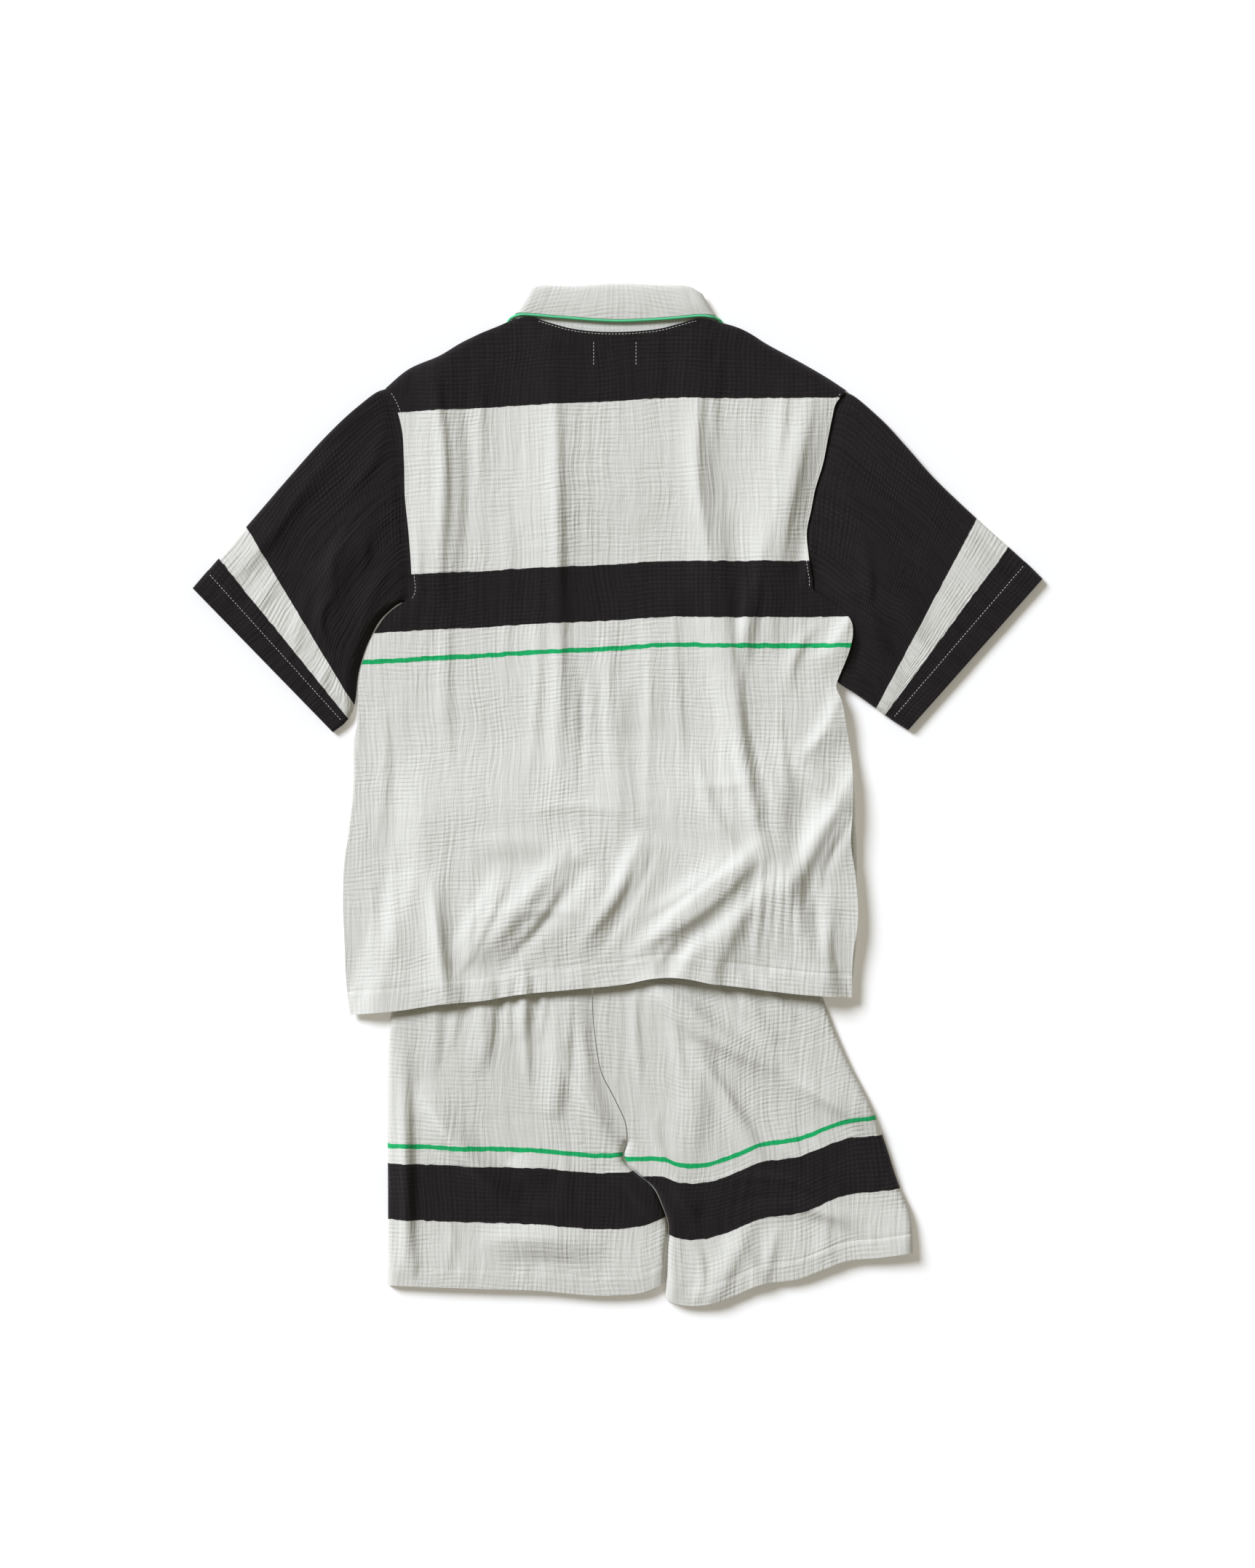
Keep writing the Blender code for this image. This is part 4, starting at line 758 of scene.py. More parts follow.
def cloth(name, middle, uv, material, thickness=WALL, closed=False):
    """A thin wall of cloth round a grid of points in its middle, with its map."""
    half = np.broadcast_to(np.asarray(thickness, float), middle.shape[:2])[..., None] / 2
    normal = normals_of(middle, closed)
    rows, columns = middle.shape[:2]
    count = rows * columns
    skins = [(middle + normal * half).reshape(-1, 3), (middle - normal * half).reshape(-1, 3)]
    points = np.concatenate(skins)
    quads, marks = grid_quads(rows, columns, closed)
    grid = np.arange(count).reshape(rows, columns)
    map_grid = np.arange(rows * (columns + int(closed))).reshape(rows, -1)
    around = np.concatenate([grid, grid[:, :1]], axis=1) if closed else grid
    faces, corners = [quads, quads[:, ::-1] + count], [marks, marks[:, ::-1]]
    lines = [(around[0, ::-1], map_grid[0, ::-1]), (around[-1], map_grid[-1])]
    if not closed:
        lines += [(grid[:, 0], map_grid[:, 0]), (grid[::-1, -1], map_grid[::-1, -1])]
    for line, mark in lines:
        rim, rim_marks = rim_quads(line, mark, count)
        faces.append(rim)
        corners.append(rim_marks)
    faces, corners = np.concatenate(faces), np.concatenate(corners)
    if volume_of(points, faces) < 0:
        faces, corners = faces[:, ::-1], corners[:, ::-1]
    made = made_mesh(name, placed(points), faces.tolist(), material, uv.reshape(-1, 2)[corners])
    made.data.set_sharp_from_angle(angle=SHARP_EDGE)
    return made


def walls(rows, length, depth):
    """Rows with three more round the stitches of the hem, and the wall of each row."""
    hem = depth / length
    extra = hem + np.array([-2.4, -1.1, 0, 1.1, 2.4]) / length
    rows = rows[np.min(np.abs(rows[:, None] - extra), axis=1) > 1.2 / length]
    rows = np.sort(np.concatenate([rows, extra]))
    return rows, np.where(rows <= hem + 1e-9, HEM_WALL, WALL)[:, None]


def puckers(along, from_hem, depth, seed):
    """Small waves that the hem's stitches pull into the cloth, and the groove that they lie in."""
    wide, narrow = (
        lattice(along / size, 0 * along, seed + n) - 0.5 for n, size in enumerate((9, 5))
    )
    groove = np.exp(-(((from_hem - depth + 1) / 1.3) ** 2))
    near = np.exp(-(((from_hem - depth + 2) / 9) ** 2))
    return (wide + 0.6 * narrow) * near * PUCKER_HEIGHT - GROOVE_DEPTH * groove


def from_edges(x, left, right, width):
    """0 at two edges of a panel and 1 at width inside them."""
    return ease((x - left) / width) * ease((right - x) / width)


def above_hem(x, y):
    """How high a point of the shirt is above its hem along the cloth, which straightens upwards."""
    (first_x, first_y), (last_x, last_y) = BACK_HEM[0], BACK_HEM[-1]
    hem = through(BACK_HEM, x)
    straight = first_y + (last_y - first_y) * (x - first_x) / (last_x - first_x)
    return y - straight - (hem - straight) * (1 - 0.8 * ease((y - hem) / 420))


def shirt_back(material):
    """The back of the shirt, one panel from its hem to its shoulders."""
    columns = clustered(182, BACK_SIZE[0], [0, 1.2, 2.6, 4.5, 7])
    rows = clustered(244, BACK_SIZE[1], [0, 0.4, 1.2, 2.4, 4, 6, 8.5])
    rows, wall = walls(rows, BACK_SIZE[1], HEM_DEPTH)
    x, y = sheet_grid(columns, rows, BACK_LEFT, BACK_RIGHT, BACK_HEM, BACK_TOP)
    v = y - through(BACK_HEM, x)
    calm = from_edges(x, through(BACK_LEFT, y), through(BACK_RIGHT, y), 16)
    calm = SEAM_CALM + (1 - SEAM_CALM) * calm
    calm = calm * (0.1 + 0.9 * ease((through(BACK_TOP, x) - y - 4) / 26))
    calm = calm * (1 - 0.55 * ease((24 - v) / 10))
    small = crumple(x, y, 11) * calm + puckers(x, v, HEM_DEPTH, 31)
    middle = np.stack([x, y, back_top(x, y) + small], axis=-1)
    return cloth("back_gauze", middle, np.stack([x, above_hem(x, y)], axis=-1), material, wall)


def shirt_front(name, side, edge, material):
    """One front: from the placket out to the side, where it turns up to the side seam."""
    rows, wall = walls(np.linspace(0, 1, 118), FRONT_SIZE[1], HEM_DEPTH)
    outer_y = edge[0][0] + (edge[-1][0] - edge[0][0]) * rows
    turn = ease(through(edge, outer_y, 2))
    outer_x = through(edge, outer_y) - side * FRONT_ARM_STRIP * (1 - turn)
    hem_y, neck_y = through(BACK_HEM, 0.0), NECKLINE[0][1]
    inner_x = through(FRONT_CENTRE, hem_y + (neck_y - hem_y) * rows) - side * PLACKET_HALF
    near = [0, 3.5, PLACKET_HALF - PLACKET_FLAT, 11, PLACKET_HALF, 19, PLACKET_HALF + PLACKET_FLAT,
            26.5, 2 * PLACKET_HALF, 34, 38, 2 * PLACKET_HALF + 12]
    across = np.concatenate([np.array(near) / FRONT_SIZE[0], np.linspace(0.185, 1, 40)])
    u, v = np.meshgrid(across, rows)
    x = inner_x[:, None] + (outer_x - inner_x)[:, None] * u
    out = np.maximum(side * x[-1], NECKLINE[0][0])
    shoulder = through(BACK_TOP, x[-1]) - EDGE_INSET - 0.6 - 4 * ease((out - 212) / 16)
    high = np.where(out > 104, shoulder, through(NECKLINE, out))
    low = through(BACK_HEM, x[0]) + 2
    y = low + (high - low) * v
    clear = ease((side * x - 44) / 20) * ease((0.97 - u) / 0.06) * ease((v - 0.06) / 0.06)
    z = front_top(x, y) + (wall - WALL) / 2 + folds(x, y, FRONT_CREASES) * clear
    if side > 0:  # this front laps over the other
        inward = 2 * PLACKET_HALF - 3 - side * (x - through(FRONT_CENTRE, y))
        z = z + (PLY_STEP + 0.6) * ease(inward / 12)
    middle = [np.stack([x, y, z], axis=-1)]
    edge_y, edge_z = y[:, -1], z[:, -1]
    step = PLY_STEP + 0.7 + 0.9 * ease((-170 - edge_y) / 20)
    seam_z = back_top(outer_x + side * 1.0, edge_y) - step
    radius = np.maximum(seam_z - edge_z, 2.0) / 2

    def flat_x(n):
        """Where the last columns lie if the side doesn't turn up."""
        return outer_x + side * FRONT_ARM_STRIP * n / 14

    for n, angle in enumerate(np.radians(np.linspace(-75, 90, 12)), 1):
        turned = outer_x + side * radius * np.cos(angle)
        edge_x = flat_x(n) + (turned - flat_x(n)) * turn
        lift = radius * (1 + np.sin(angle)) * turn
        middle.append(np.stack([edge_x, edge_y, edge_z + lift], axis=-1)[:, None])
    for n, share in ((13, 0.4), (14, 1.0)):
        inner = outer_x - side * FRONT_SIDE_STRIP * share
        last_x = flat_x(n) + (inner - flat_x(n)) * turn
        last_z = edge_z + (back_top(last_x, edge_y) - step - edge_z) * turn
        middle.append(np.stack([last_x, edge_y, last_z], axis=-1)[:, None])
    middle = np.concatenate(middle, axis=1)
    across = middle[:, :1, 0] + side * walked(middle, 1)
    uv = np.stack([across, above_hem(middle[..., 0], middle[..., 1])], axis=-1)
    return cloth(name, middle, uv, material, wall)


def flat_ring(flat, steepest):
    """Round a flattened tube: how far across it, out past its folds, and up, each from -1 to 1."""
    ends = np.radians(np.linspace(steepest, -steepest, 7))
    across = np.concatenate([flat, np.ones(7), flat[::-1], -np.ones(7)])
    out = np.concatenate([flat * 0, np.cos(ends), flat * 0, -np.cos(ends)])
    level = np.concatenate([flat * 0 + 1, np.sin(ends), flat * 0 - 1, np.sin(ends[::-1])])
    return across, out, level


def sleeve(name, side, sections, relief, edge, armhole, length, material, seed):
    """One sleeve, a flattened tube from inside the armhole seam to the cuff, its seam below."""
    hem = length * (1 - CUFF_SHARE)
    rows, wall = walls(np.linspace(0, 1, 102), length, hem)
    share, wall = 1 - rows[::-1, None], wall[::-1]
    upper_x, upper_y, lower_x, lower_y, bow, height = (
        through(sections, share, column) for column in range(1, 7)
    )
    flat = np.linspace(-1, 1, 56)
    across, out, level = (np.roll(a, -(len(flat) + 3)) for a in flat_ring(flat, 75))
    half_x, half_y = (lower_x - upper_x) / 2, (lower_y - upper_y) / 2
    half, radius = np.hypot(half_x, half_y), np.minimum(height / 2, 4.5)
    s = (across * (half - radius) + out * radius) / half
    x = (upper_x + lower_x) / 2 + s * half_x + bow * (1 - s * s)
    y = (upper_y + lower_y) / 2 + s * half_y

    lift = 0.5 * lattice(x / 16, y / 24, seed + 9) * (1 - s**6) * ease((share - 0.2) / 0.1)
    low = wall / 2 + PLY_STEP * ease(((through(edge, y) - x) * side + 11) / 7) + lift

    own = REST + height + folds(x, y, relief) * (1 - s**6) * ease(share / 0.1)
    inside = (through(armhole, y) - x) * side
    seam = back_top(x, y) - PLY_STEP - ARMHOLE_DROP
    calm = (1 - s**8) * ease((share - 0.07) / 0.1)
    small = crumple(s * SLEEVE_HALF, share * length, seed) * calm
    small = small * (1 - 0.5 * ease((share - CUFF_SHARE) / 0.02))
    high = own + (seam - own) * ease((inside + 13) / 11) + small
    high = high + puckers(s * SLEEVE_HALF, (1 - share) * length, hem, seed + 20)
    high = np.maximum(high, low + 2.0)

    middle = np.stack([x, y, low + (high - low) * (level + 1) / 2], axis=-1)
    walk = walked(np.concatenate([middle, middle[:, :1]], axis=1), 1)
    walk = walk / walk[:, -1:] * np.median(walk[:, -1])
    uv = np.stack([walk, np.broadcast_to(share * length, walk.shape)], axis=-1)
    return cloth(name, middle, uv, material, wall, closed=True)


def collar_middle(share):
    """Middle of the collar: a row across it for each place along it."""
    share = share[:, None]
    angle = np.radians(np.clip(through(COLLAR, share), -90, 90))
    base, fold, leaf = (
        np.stack([through(COLLAR, share, c) for c in pair], axis=-1)
        for pair in ((2, 3), (4, 5), (6, 7))
    )
    level, radius = (a + b * np.sin(angle) for a, b in (STAND_LEVEL, COLLAR_TURN))
    side = np.where(share < 0.5, -1.0, 1.0)
    out = np.stack([side * COLLAR_OUT[0], 0 * side + COLLAR_OUT[1]], axis=-1)
    out = out * np.cos(angle)[..., None]
    ahead, radius_xy = unit(fold - base), radius[..., None]
    leaf_start = fold + 2 * radius_xy * out
    parts = []
    for w in (0, 0.12, 0.25, 0.4, 0.55, 0.7, 0.85, 0.95):
        parts.append((base + (fold - base) * w, level))
    for bend in np.radians([-67, -45, -22, 0, 22, 45, 67]):
        spot = fold + radius_xy * ((1 + np.sin(bend)) * out + np.cos(bend) * ahead)
        parts.append((spot, level + radius * (1 + np.sin(bend)) * np.sin(angle)))
    bulge = np.maximum(np.sin(angle) * (np.abs(share - 0.5) < 0.17), 0)
    for w in (0.05, 0.15, 0.25, 0.35, 0.45, 0.55, 0.65, 0.75, 0.85, 0.93, 1.0):
        spot = leaf_start + (leaf - leaf_start) * w
        x, y = spot[..., 0], spot[..., 1]
        wave = lattice(x / 13, y / 30, 71) + 0.6 * lattice(x / 7, y / 40, 72)
        lift = (0.8 * math.sin(math.pi * w) + 0.9 * (wave - 0.4) * ease((1 - w) / 0.3)) * bulge
        parts.append((spot, level + 2 * radius * np.sin(angle) + lift))
    return np.concatenate([np.concatenate([xy, z[..., None]], axis=-1) for xy, z in parts], axis=1)


def collar(material, trim):
    """The collar and the piping along the free edges of its leaf."""
    coarse = [0, 0.05, 0.1, 0.155, 0.21, 0.25, 0.275, 0.3, 0.32, 0.34, 0.36, 0.38, 0.41, 0.455, 0.5]
    fine = np.interp(np.linspace(0, 14, 113), np.arange(15), coarse)
    middle = collar_middle(np.concatenate([fine, 1 - fine[-2::-1]]))
    walk = walked(middle, 1)
    along = walked(middle[:, COLLAR_FOLD], 0)
    uv = np.stack([np.broadcast_to(along[:, None], walk.shape), walk], axis=-1)
    leaf = cloth("collar_gauze", middle, uv, material, COLLAR_WALL)
    away = PIPING_RADIUS + 1.5 * SEAM_GAP
    edge, inside = middle[:, -1], middle[:, -2]
    out, ahead = edge - inside, np.gradient(edge, axis=0)
    out -= ahead * np.sum(out * ahead, axis=1, keepdims=True) / np.sum(ahead**2, axis=1)[:, None]
    steep = np.abs(unit(ahead)[:, 2:])
    line = edge + (away + 0.8 * steep) * unit(out)
    ends = []
    for end, beyond in ((0, 1), (-1, -2)):
        ahead = away * unit(middle[end, -1] - middle[beyond, -1])
        ends.append([middle[end, k] + ahead for k in range(15, 26)] + [line[end] + ahead])
    line = np.concatenate([ends[0], line[1:-1], ends[1][::-1]])
    line[:, 2] = np.maximum(line[:, 2], PIPING_RADIUS)
    return leaf, tube("piping_cord", line, PIPING_RADIUS, trim)


def tube(name, line, radius, material, sides=14):
    """A round cord along a line of points, its map wound round and along it."""
    ahead = unit(np.gradient(line, axis=0))
    out = unit(np.cross(ahead, [0, 0, 1]))
    up = np.cross(out, ahead)
    turn = np.linspace(0, TURN, sides, endpoint=False)
    ring = out[:, None] * np.cos(turn)[None, :, None] + up[:, None] * np.sin(turn)[None, :, None]
    length = walked(line, 0)
    uneven = radius * (1 + 0.05 * (lattice(length / 7, 0 * length, 5) - 0.5))[:, None, None]
    points = (line[:, None] + ring * uneven).reshape(-1, 3)
    faces, marks = grid_quads(len(line), sides, True)
    around = np.meshgrid(np.linspace(0, TURN * radius, sides + 1), length)
    corners = np.stack(around, axis=-1).reshape(-1, 2)[marks]
    middle, last = len(points), len(points) - sides
    points = np.concatenate([points, line[:1], line[-1:]])
    caps = []
    for k in range(sides):
        n = (k + 1) % sides
        caps += [(n, k, middle), (last + k, last + n, middle + 1)]
    if volume_of(points, faces) < 0:
        faces, corners = faces[:, ::-1], corners[:, ::-1]
        caps = [(b, a, c) for a, b, c in caps]
    corners = np.concatenate([corners.reshape(-1, 2), np.zeros((3 * len(caps), 2))])
    return made_mesh(name, placed(points), faces.tolist() + caps, material, corners)


def leg(name, side, outer, inner, hem, material, seed):
    """The back and front panels of one leg of the shorts."""
    left, right = (outer, inner) if side < 0 else (inner, outer)
    top_y = WAIST_SEAM_Y - 2 * SEAM_GAP
    waist = [(WAIST_LEFT_X - 10, top_y), (WAIST_RIGHT_X + 10, top_y)]
    length = WAIST_SEAM_Y - inner[0][0]
    made = []
    for where, count, step in (("back", 96, 3.2), ("front", 52, 6.0)):
        columns = clustered(count, LEG_WIDTH, [0, 0.3, 1, 2.2, 4])
        fine = np.arange(0, 1 + 1e-9, 1 / round(length / step))
        rows, wall = walls(fine, length, LEG_HEM_DEPTH)
        x, y = sheet_grid(columns, rows, left, right, hem, waist)
        v = y - through(hem, x)
        if where == "back":
            sides = x - through(left, y), through(right, y) - x
            from_outer, from_inner = sides if side < 0 else sides[::-1]
            seam = ease((y - CROTCH_Y + 4) / 12)
            roll = rise(from_outer, LEG_ROLL) * np.maximum(rise(from_inner, LEG_ROLL), seam)
            calm = ease(from_outer / 12) * (0.1 + 0.9 * ease(from_inner / 12))
            calm = calm * (1 - 0.6 * ease((19 - v) / 8))
            small = crumple(x, y, seed) * calm
            small = small + puckers(x, v, LEG_HEM_DEPTH, seed + 20) * ease(from_outer / 6)
            gape = LEG_GAPE * ease((GAPE_REACH - v) / GAPE_REACH)
            gape = gape * (0.35 + 0.65 * lattice(x / 62, 0 * x, seed + 40))
            z = REST + (leg_top(x, y) + small + gape - REST) * roll
        else:
            seam = ease((y[:, -1:] - CROTCH_Y + 4) / 12)
            inset = EDGE_INSET + 1.2 * ease((32 - np.abs(y - CROTCH_Y + 22)) / 14)
            ends = [x[:, :1] + inset[:, :1], x[:, -1:] - inset[:, -1:]]
            inner_end = 1 if side < 0 else 0
            ends[inner_end] = ends[inner_end] - side * (EDGE_INSET - 0.4) * seam
            x = ends[0] + (ends[1] - ends[0]) * columns[None]
            y = y + 1.5 * (1 - rows)[:, None]
            calm = from_edges(x, *ends, 24) * ease((v - 24) / 16) * ease((-110 - y) / 16)
            z = wall / 2 + folds(x, y, LEG_FRONT_CREASES) * calm
        middle, uv = np.stack([x, y, z], axis=-1), np.stack([x, v], axis=-1)
        made.append(cloth(f"{name}_{where}_gauze", middle, uv, material, wall))
    return made


def waistband(material):
    """The elastic waistband of the shorts: a flat gathered tube."""
    flat = np.linspace(-1, 1, 161)
    across, out, level = flat_ring(flat, 72)
    centre, half = (WAIST_LEFT_X + WAIST_RIGHT_X) / 2, (WAIST_RIGHT_X - WAIST_LEFT_X) / 2
    low, high = WAIST_WALL / 2, WAIST_HEIGHT - WAIST_WALL / 2
    x = centre + across * (half - 2) + out * 2
    z = low + (high - low) * (level + 1) / 2
    z[: len(flat)] += 0.5 * np.cos(flat * math.pi * WAIST_GATHERS) * (1 - flat**8)
    rows = np.linspace(WAIST_SEAM_Y, WAIST_TOP_Y, 9)
    middle = np.stack([np.stack([x, 0 * x + y, z], axis=-1) for y in rows])
    walk = walked(np.concatenate([middle[0], middle[0, :1]]), 0)
    uv = np.stack(np.meshgrid(walk, rows - rows[0]), axis=-1)
    return cloth("waistband_gauze", middle, uv, material, WAIST_WALL, closed=True)


def stitches(tag, piece, lines, sides=(1,)):
    """Topstitching as small pointed threads along lines of x, y. A side is 1 from above a piece and
    -1 from below it."""
    mesh = piece.data
    surface = BVHTree.FromPolygons(
        [v.co.copy() for v in mesh.vertices], [tuple(p.vertices) for p in mesh.polygons]
    )
    points, faces = [], []
    for side, (x, y) in product(sides, lines):
        x, y = np.asarray(x, float), np.asarray(y, float)
        walk = walked(np.stack([x, y], axis=-1), 0)
        for place in np.arange(STITCH_PITCH / 2, walk[-1], STITCH_PITCH):
            ends = []
            for at in (place - STITCH_LENGTH / 2, place, place + STITCH_LENGTH / 2):
                spot = Vector(placed(np.array([np.interp(at, walk, x), np.interp(at, walk, y), 0])))
                spot.z = RAY_START[side]
                ends.append(surface.ray_cast(spot, Vector((0, 0, -side)))[0])
            if None in ends:
                continue
            start, middle, end = (np.array(hit) / MM for hit in ends)
            ahead = end - start
            if abs(ahead[2]) > STEEP_STITCH:
                continue
            ahead = unit(ahead)
            beside = unit(np.cross(ahead, [0, 0, 1]))
            up = np.cross(beside, ahead) * side
            first = len(points)
            points += [start - STITCH_SINK * up, end - STITCH_SINK * up]
            for centre in (start * 0.7 + middle * 0.3, end * 0.7 + middle * 0.3):
                for angle in np.radians([0, 72, 144, 216, 288]):
                    ring = beside * math.cos(angle) / 2 + up * math.sin(angle) / 2.6
                    points.append(centre + STITCH_SINK * up + STITCH_WIDTH * ring)
            for k in range(5):
                a, b, c, d = (first + m for m in (2 + k, 2 + (k + 1) % 5, 7 + (k + 1) % 5, 7 + k))
                faces += [(first, b, a), (first + 1, d, c), (a, b, c, d)]
    return made_mesh(f"stitches_{tag}", np.array(points) * MM, faces, thread)


def feed(tree, socket, value):
    """Gives a socket another node's output or a plain value."""
    if isinstance(value, bpy.types.NodeSocket):
        tree.links.new(value, socket)
    else:
        socket.default_value = value


def add(tree, kind, inputs=None, **settings):
    """A node with its settings and its inputs, where an input may be another node's output."""
    made = tree.nodes.new(kind)
    for key, value in settings.items():
        setattr(made, key, value)
    for key, value in (inputs or {}).items():
        feed(tree, made.inputs[key], value)
    return made.outputs[0]


def sums(tree, operation, *values):
    """One step of arithmetic."""
    return add(tree, "ShaderNodeMath", dict(enumerate(values)), operation=operation)


def times(tree, first, second):
    """first * second."""
    return sums(tree, "MULTIPLY", first, second)


def scaled(tree, value, share, rest):
    """value * share + rest."""
    return sums(tree, "MULTIPLY_ADD", value, share, rest)


def ranged(tree, value, low, high, first=0.0, last=1.0):
    """first below low, last above high, and an even rise between."""
    return add(tree, "ShaderNodeMapRange", {0: value, 1: low, 2: high, 3: first, 4: last})


def parted(tree, vector):
    """The x, y and z of a vector."""
    return add(tree, "ShaderNodeSeparateXYZ", {0: vector}).node.outputs


def noise(tree, vector, across, along, detail=1.0, roughness=0.5):
    """Noise whose grain is across by along millimetres of cloth."""
    grain = (1 / (across * MM), 1 / (along * MM), 1)
    place = add(tree, "ShaderNodeVectorMath", {0: vector, 1: grain}, operation="MULTIPLY")
    inputs = {"Vector": place, "Scale": 1.0, "Detail": detail, "Roughness": roughness}
    return add(tree, "ShaderNodeTexNoise", inputs, noise_dimensions="2D")


def ridge(tree, value):
    """1 where the noise crosses its middle, falling away to 0."""
    away = sums(tree, "ABSOLUTE", scaled(tree, value, 2.0, -1.0))
    return sums(tree, "SUBTRACT", 1.0, times(tree, away, 2.2))


def furrow(tree, value):
    """A thin line, 1 along the noise's middle and 0 a little way off it."""
    return sums(tree, "POWER", sums(tree, "MAXIMUM", ridge(tree, value), 0.0), 2.2)


def threads(tree, place, pitch, strength):
    """Even lines, one for each pitch in millimetres, that come and go with their strength."""
    return times(tree, sums(tree, "SINE", times(tree, place, TURN / (pitch * MM))), strength)


def blend(tree, factor, first, second):
    """A mix of two colours."""
    mix = add(tree, "ShaderNodeMix", {0: factor}, data_type="RGBA").node
    for number, colour in ((6, first), (7, second)):
        feed(tree, mix.inputs[number], (*colour, 1) if isinstance(colour, tuple) else colour)
    return mix.outputs[2]


def band(tree, along, low, high):
    """1 between two heights on the cloth and 0 outside them, with an edge as crisp as ink."""
    up, down = (ranged(tree, along, (at - 0.35) * MM, (at + 0.35) * MM) for at in (low, high))
    return sums(tree, "SUBTRACT", up, down)


def new_material(name):
    """A material with a plain shader, and its nodes."""
    made = bpy.data.materials.new(name)
    made.use_nodes = True
    return made, made.node_tree


def shaded(made, colour, tone, height, strength, depth, numbers):
    """Joins a material's colour, its tone, its bump (depth in mm) and the rest to its shader."""
    tree = made.node_tree
    worn = add(tree, "ShaderNodeVectorMath", {0: colour, "Scale": tone}, operation="SCALE")
    inputs = {"Height": height, "Strength": strength, "Distance": depth * MM}
    numbers = {"Base Color": worn, "Normal": add(tree, "ShaderNodeBump", inputs), **numbers}
    for name, value in numbers.items():
        feed(tree, tree.nodes["Principled BSDF"].inputs[name], value)
    return made


def gauze(name, ground, bands, crinkle=1.0):
    """Double gauze: crinkle, weave and a printed ground with bands (low, high, colour) in mm, with
    painted shade in the crinkle's furrows and painted sheen on its crests.
    """
    made, tree = new_material(name)
    flat = add(tree, "ShaderNodeUVMap", uv_map="cloth")
    wander = scaled(tree, noise(tree, flat, WANDER_GRAIN, WANDER_GRAIN), 0.02, -0.01)
    shift = add(tree, "ShaderNodeCombineXYZ", {0: wander, 1: times(tree, wander, -0.7)})
    spot = add(tree, "ShaderNodeVectorMath", {0: flat, 1: shift}, operation="ADD")
    across, along = parted(tree, spot)[:2]
    warp = ridge(tree, noise(tree, spot, 12, 110))
    fine = furrow(tree, noise(tree, spot, 5, 56))
    weft = furrow(tree, noise(tree, spot, 36, 6.4))
    patch = ranged(tree, noise(tree, spot, 70, 60), 0.34, 0.60, 0.15)
    strand = ranged(tree, noise(tree, spot, 38, 150), 0.36, 0.62, 0.25)
    warp_lines = threads(tree, across, WARP_PITCH, strand)
    weft_lines = threads(tree, along, WEFT_PITCH, patch)
    grid = sums(tree, "ADD", warp_lines, weft_lines)

    height = times(tree, warp, WARP_RISE * crinkle)
    for form, share in (
        (fine, FINE_RISE), (times(tree, weft, patch), WEFT_RISE),
        (warp_lines, WARP_LINE_RISE), (weft_lines, WEFT_LINE_RISE),
    ):
        height = scaled(tree, form, share * crinkle, height)
    height = scaled(tree, noise(tree, flat, 0.7, 0.7, 2.0, 0.7), WEAVE_RISE, height)

    tone = scaled(tree, noise(tree, flat, 1.6, 2.2, 2.0, 0.7), 0.10, 0.95)
    # Painted shade: the cloth is darker off the crests of the warp crinkle and in the troughs
    # between the grid's raised lines
    tone = times(tree, tone, scaled(tree, warp, 0.03, 0.985))
    tone = times(tree, tone, scaled(tree, grid, 0.028, 0.995))

    wobble = scaled(tree, noise(tree, flat, 11, 11, 2.0), 2.4 * MM, -1.2 * MM)
    up = sums(tree, "ADD", parted(tree, flat)[1], wobble)
    colour = ground
    for low, high, ink in bands:
        colour = blend(tree, band(tree, up, low, high), colour, ink)
    # Pale fibres at random, and more of them where the crinkle's crests and the grid's lines stand
    # up: painted sheen on those crests
    fibres_and_sheen = ranged(tree, noise(tree, flat, 1.5, 2.1, 2.0, 0.8), 0.44, 0.72, 0.0, 0.012)
    for crest, share in ((warp, 0.006), (grid, 0.010)):
        fibres_and_sheen = scaled(tree, sums(tree, "MAXIMUM", crest, 0.0), share, fibres_and_sheen)
    colour = blend(tree, fibres_and_sheen, colour, LINT_AND_SHEEN)
    return shaded(made, colour, tone, height, 1.0, 1.0, {
        "Roughness": scaled(tree, noise(tree, flat, 9, 9), 0.1, 0.84), "Metallic": 0,
        "Specular IOR Level": 0.25, "Sheen Weight": 0.08, "Sheen Roughness": 0.6,
    })


def twill(name, colour):
    """The piping's tight twill cover."""
    made, tree = new_material(name)
    flat = add(tree, "ShaderNodeUVMap", uv_map="cloth")
    inputs = {"Vector": flat, "Scale": 420.0, "Distortion": 1.2, "Detail": 1.0}
    wave = add(tree, "ShaderNodeTexWave", inputs, bands_direction="DIAGONAL").node.outputs["Fac"]
    grain = noise(tree, flat, 0.6, 1.4, 2.0)
    tone = scaled(tree, wave, 0.35, scaled(tree, grain, 0.5, 0.58))
    height = sums(tree, "ADD", wave, times(tree, grain, 0.6))
    numbers = {"Roughness": 0.62, "Specular IOR Level": 0.3, "Sheen Weight": 0.15}
    return shaded(made, colour, tone, height, 0.8, 0.25, numbers)


def grained(name, colour, grain, tone, strength, rough, numbers):
    """A small hard or shiny thing whose tone and bump follow one noise."""
    made, tree = new_material(name)
    spot = add(tree, "ShaderNodeTexCoord").node.outputs["Object"]
    value = add(tree, "ShaderNodeTexNoise", {"Vector": spot, **grain})
    if isinstance(rough, tuple):
        rough = scaled(tree, value, *rough)
    numbers = {"Roughness": rough, **numbers}
    return shaded(made, colour, scaled(tree, value, *tone), value, strength, 0.1, numbers)


def across_sleeve(sections, share, reach=0.965):
    """x, y of a line across a sleeve from its upper fold to its lower one."""
    s = np.linspace(-reach, reach, 40)
    x0, y0, x1, y1, bow = (float(through(sections, share, c)) for c in (1, 2, 3, 4, 5))
    return (x0 + x1) / 2 + s * (x1 - x0) / 2 + bow * (1 - s * s), (y0 + y1) / 2 + s * (y1 - y0) / 2


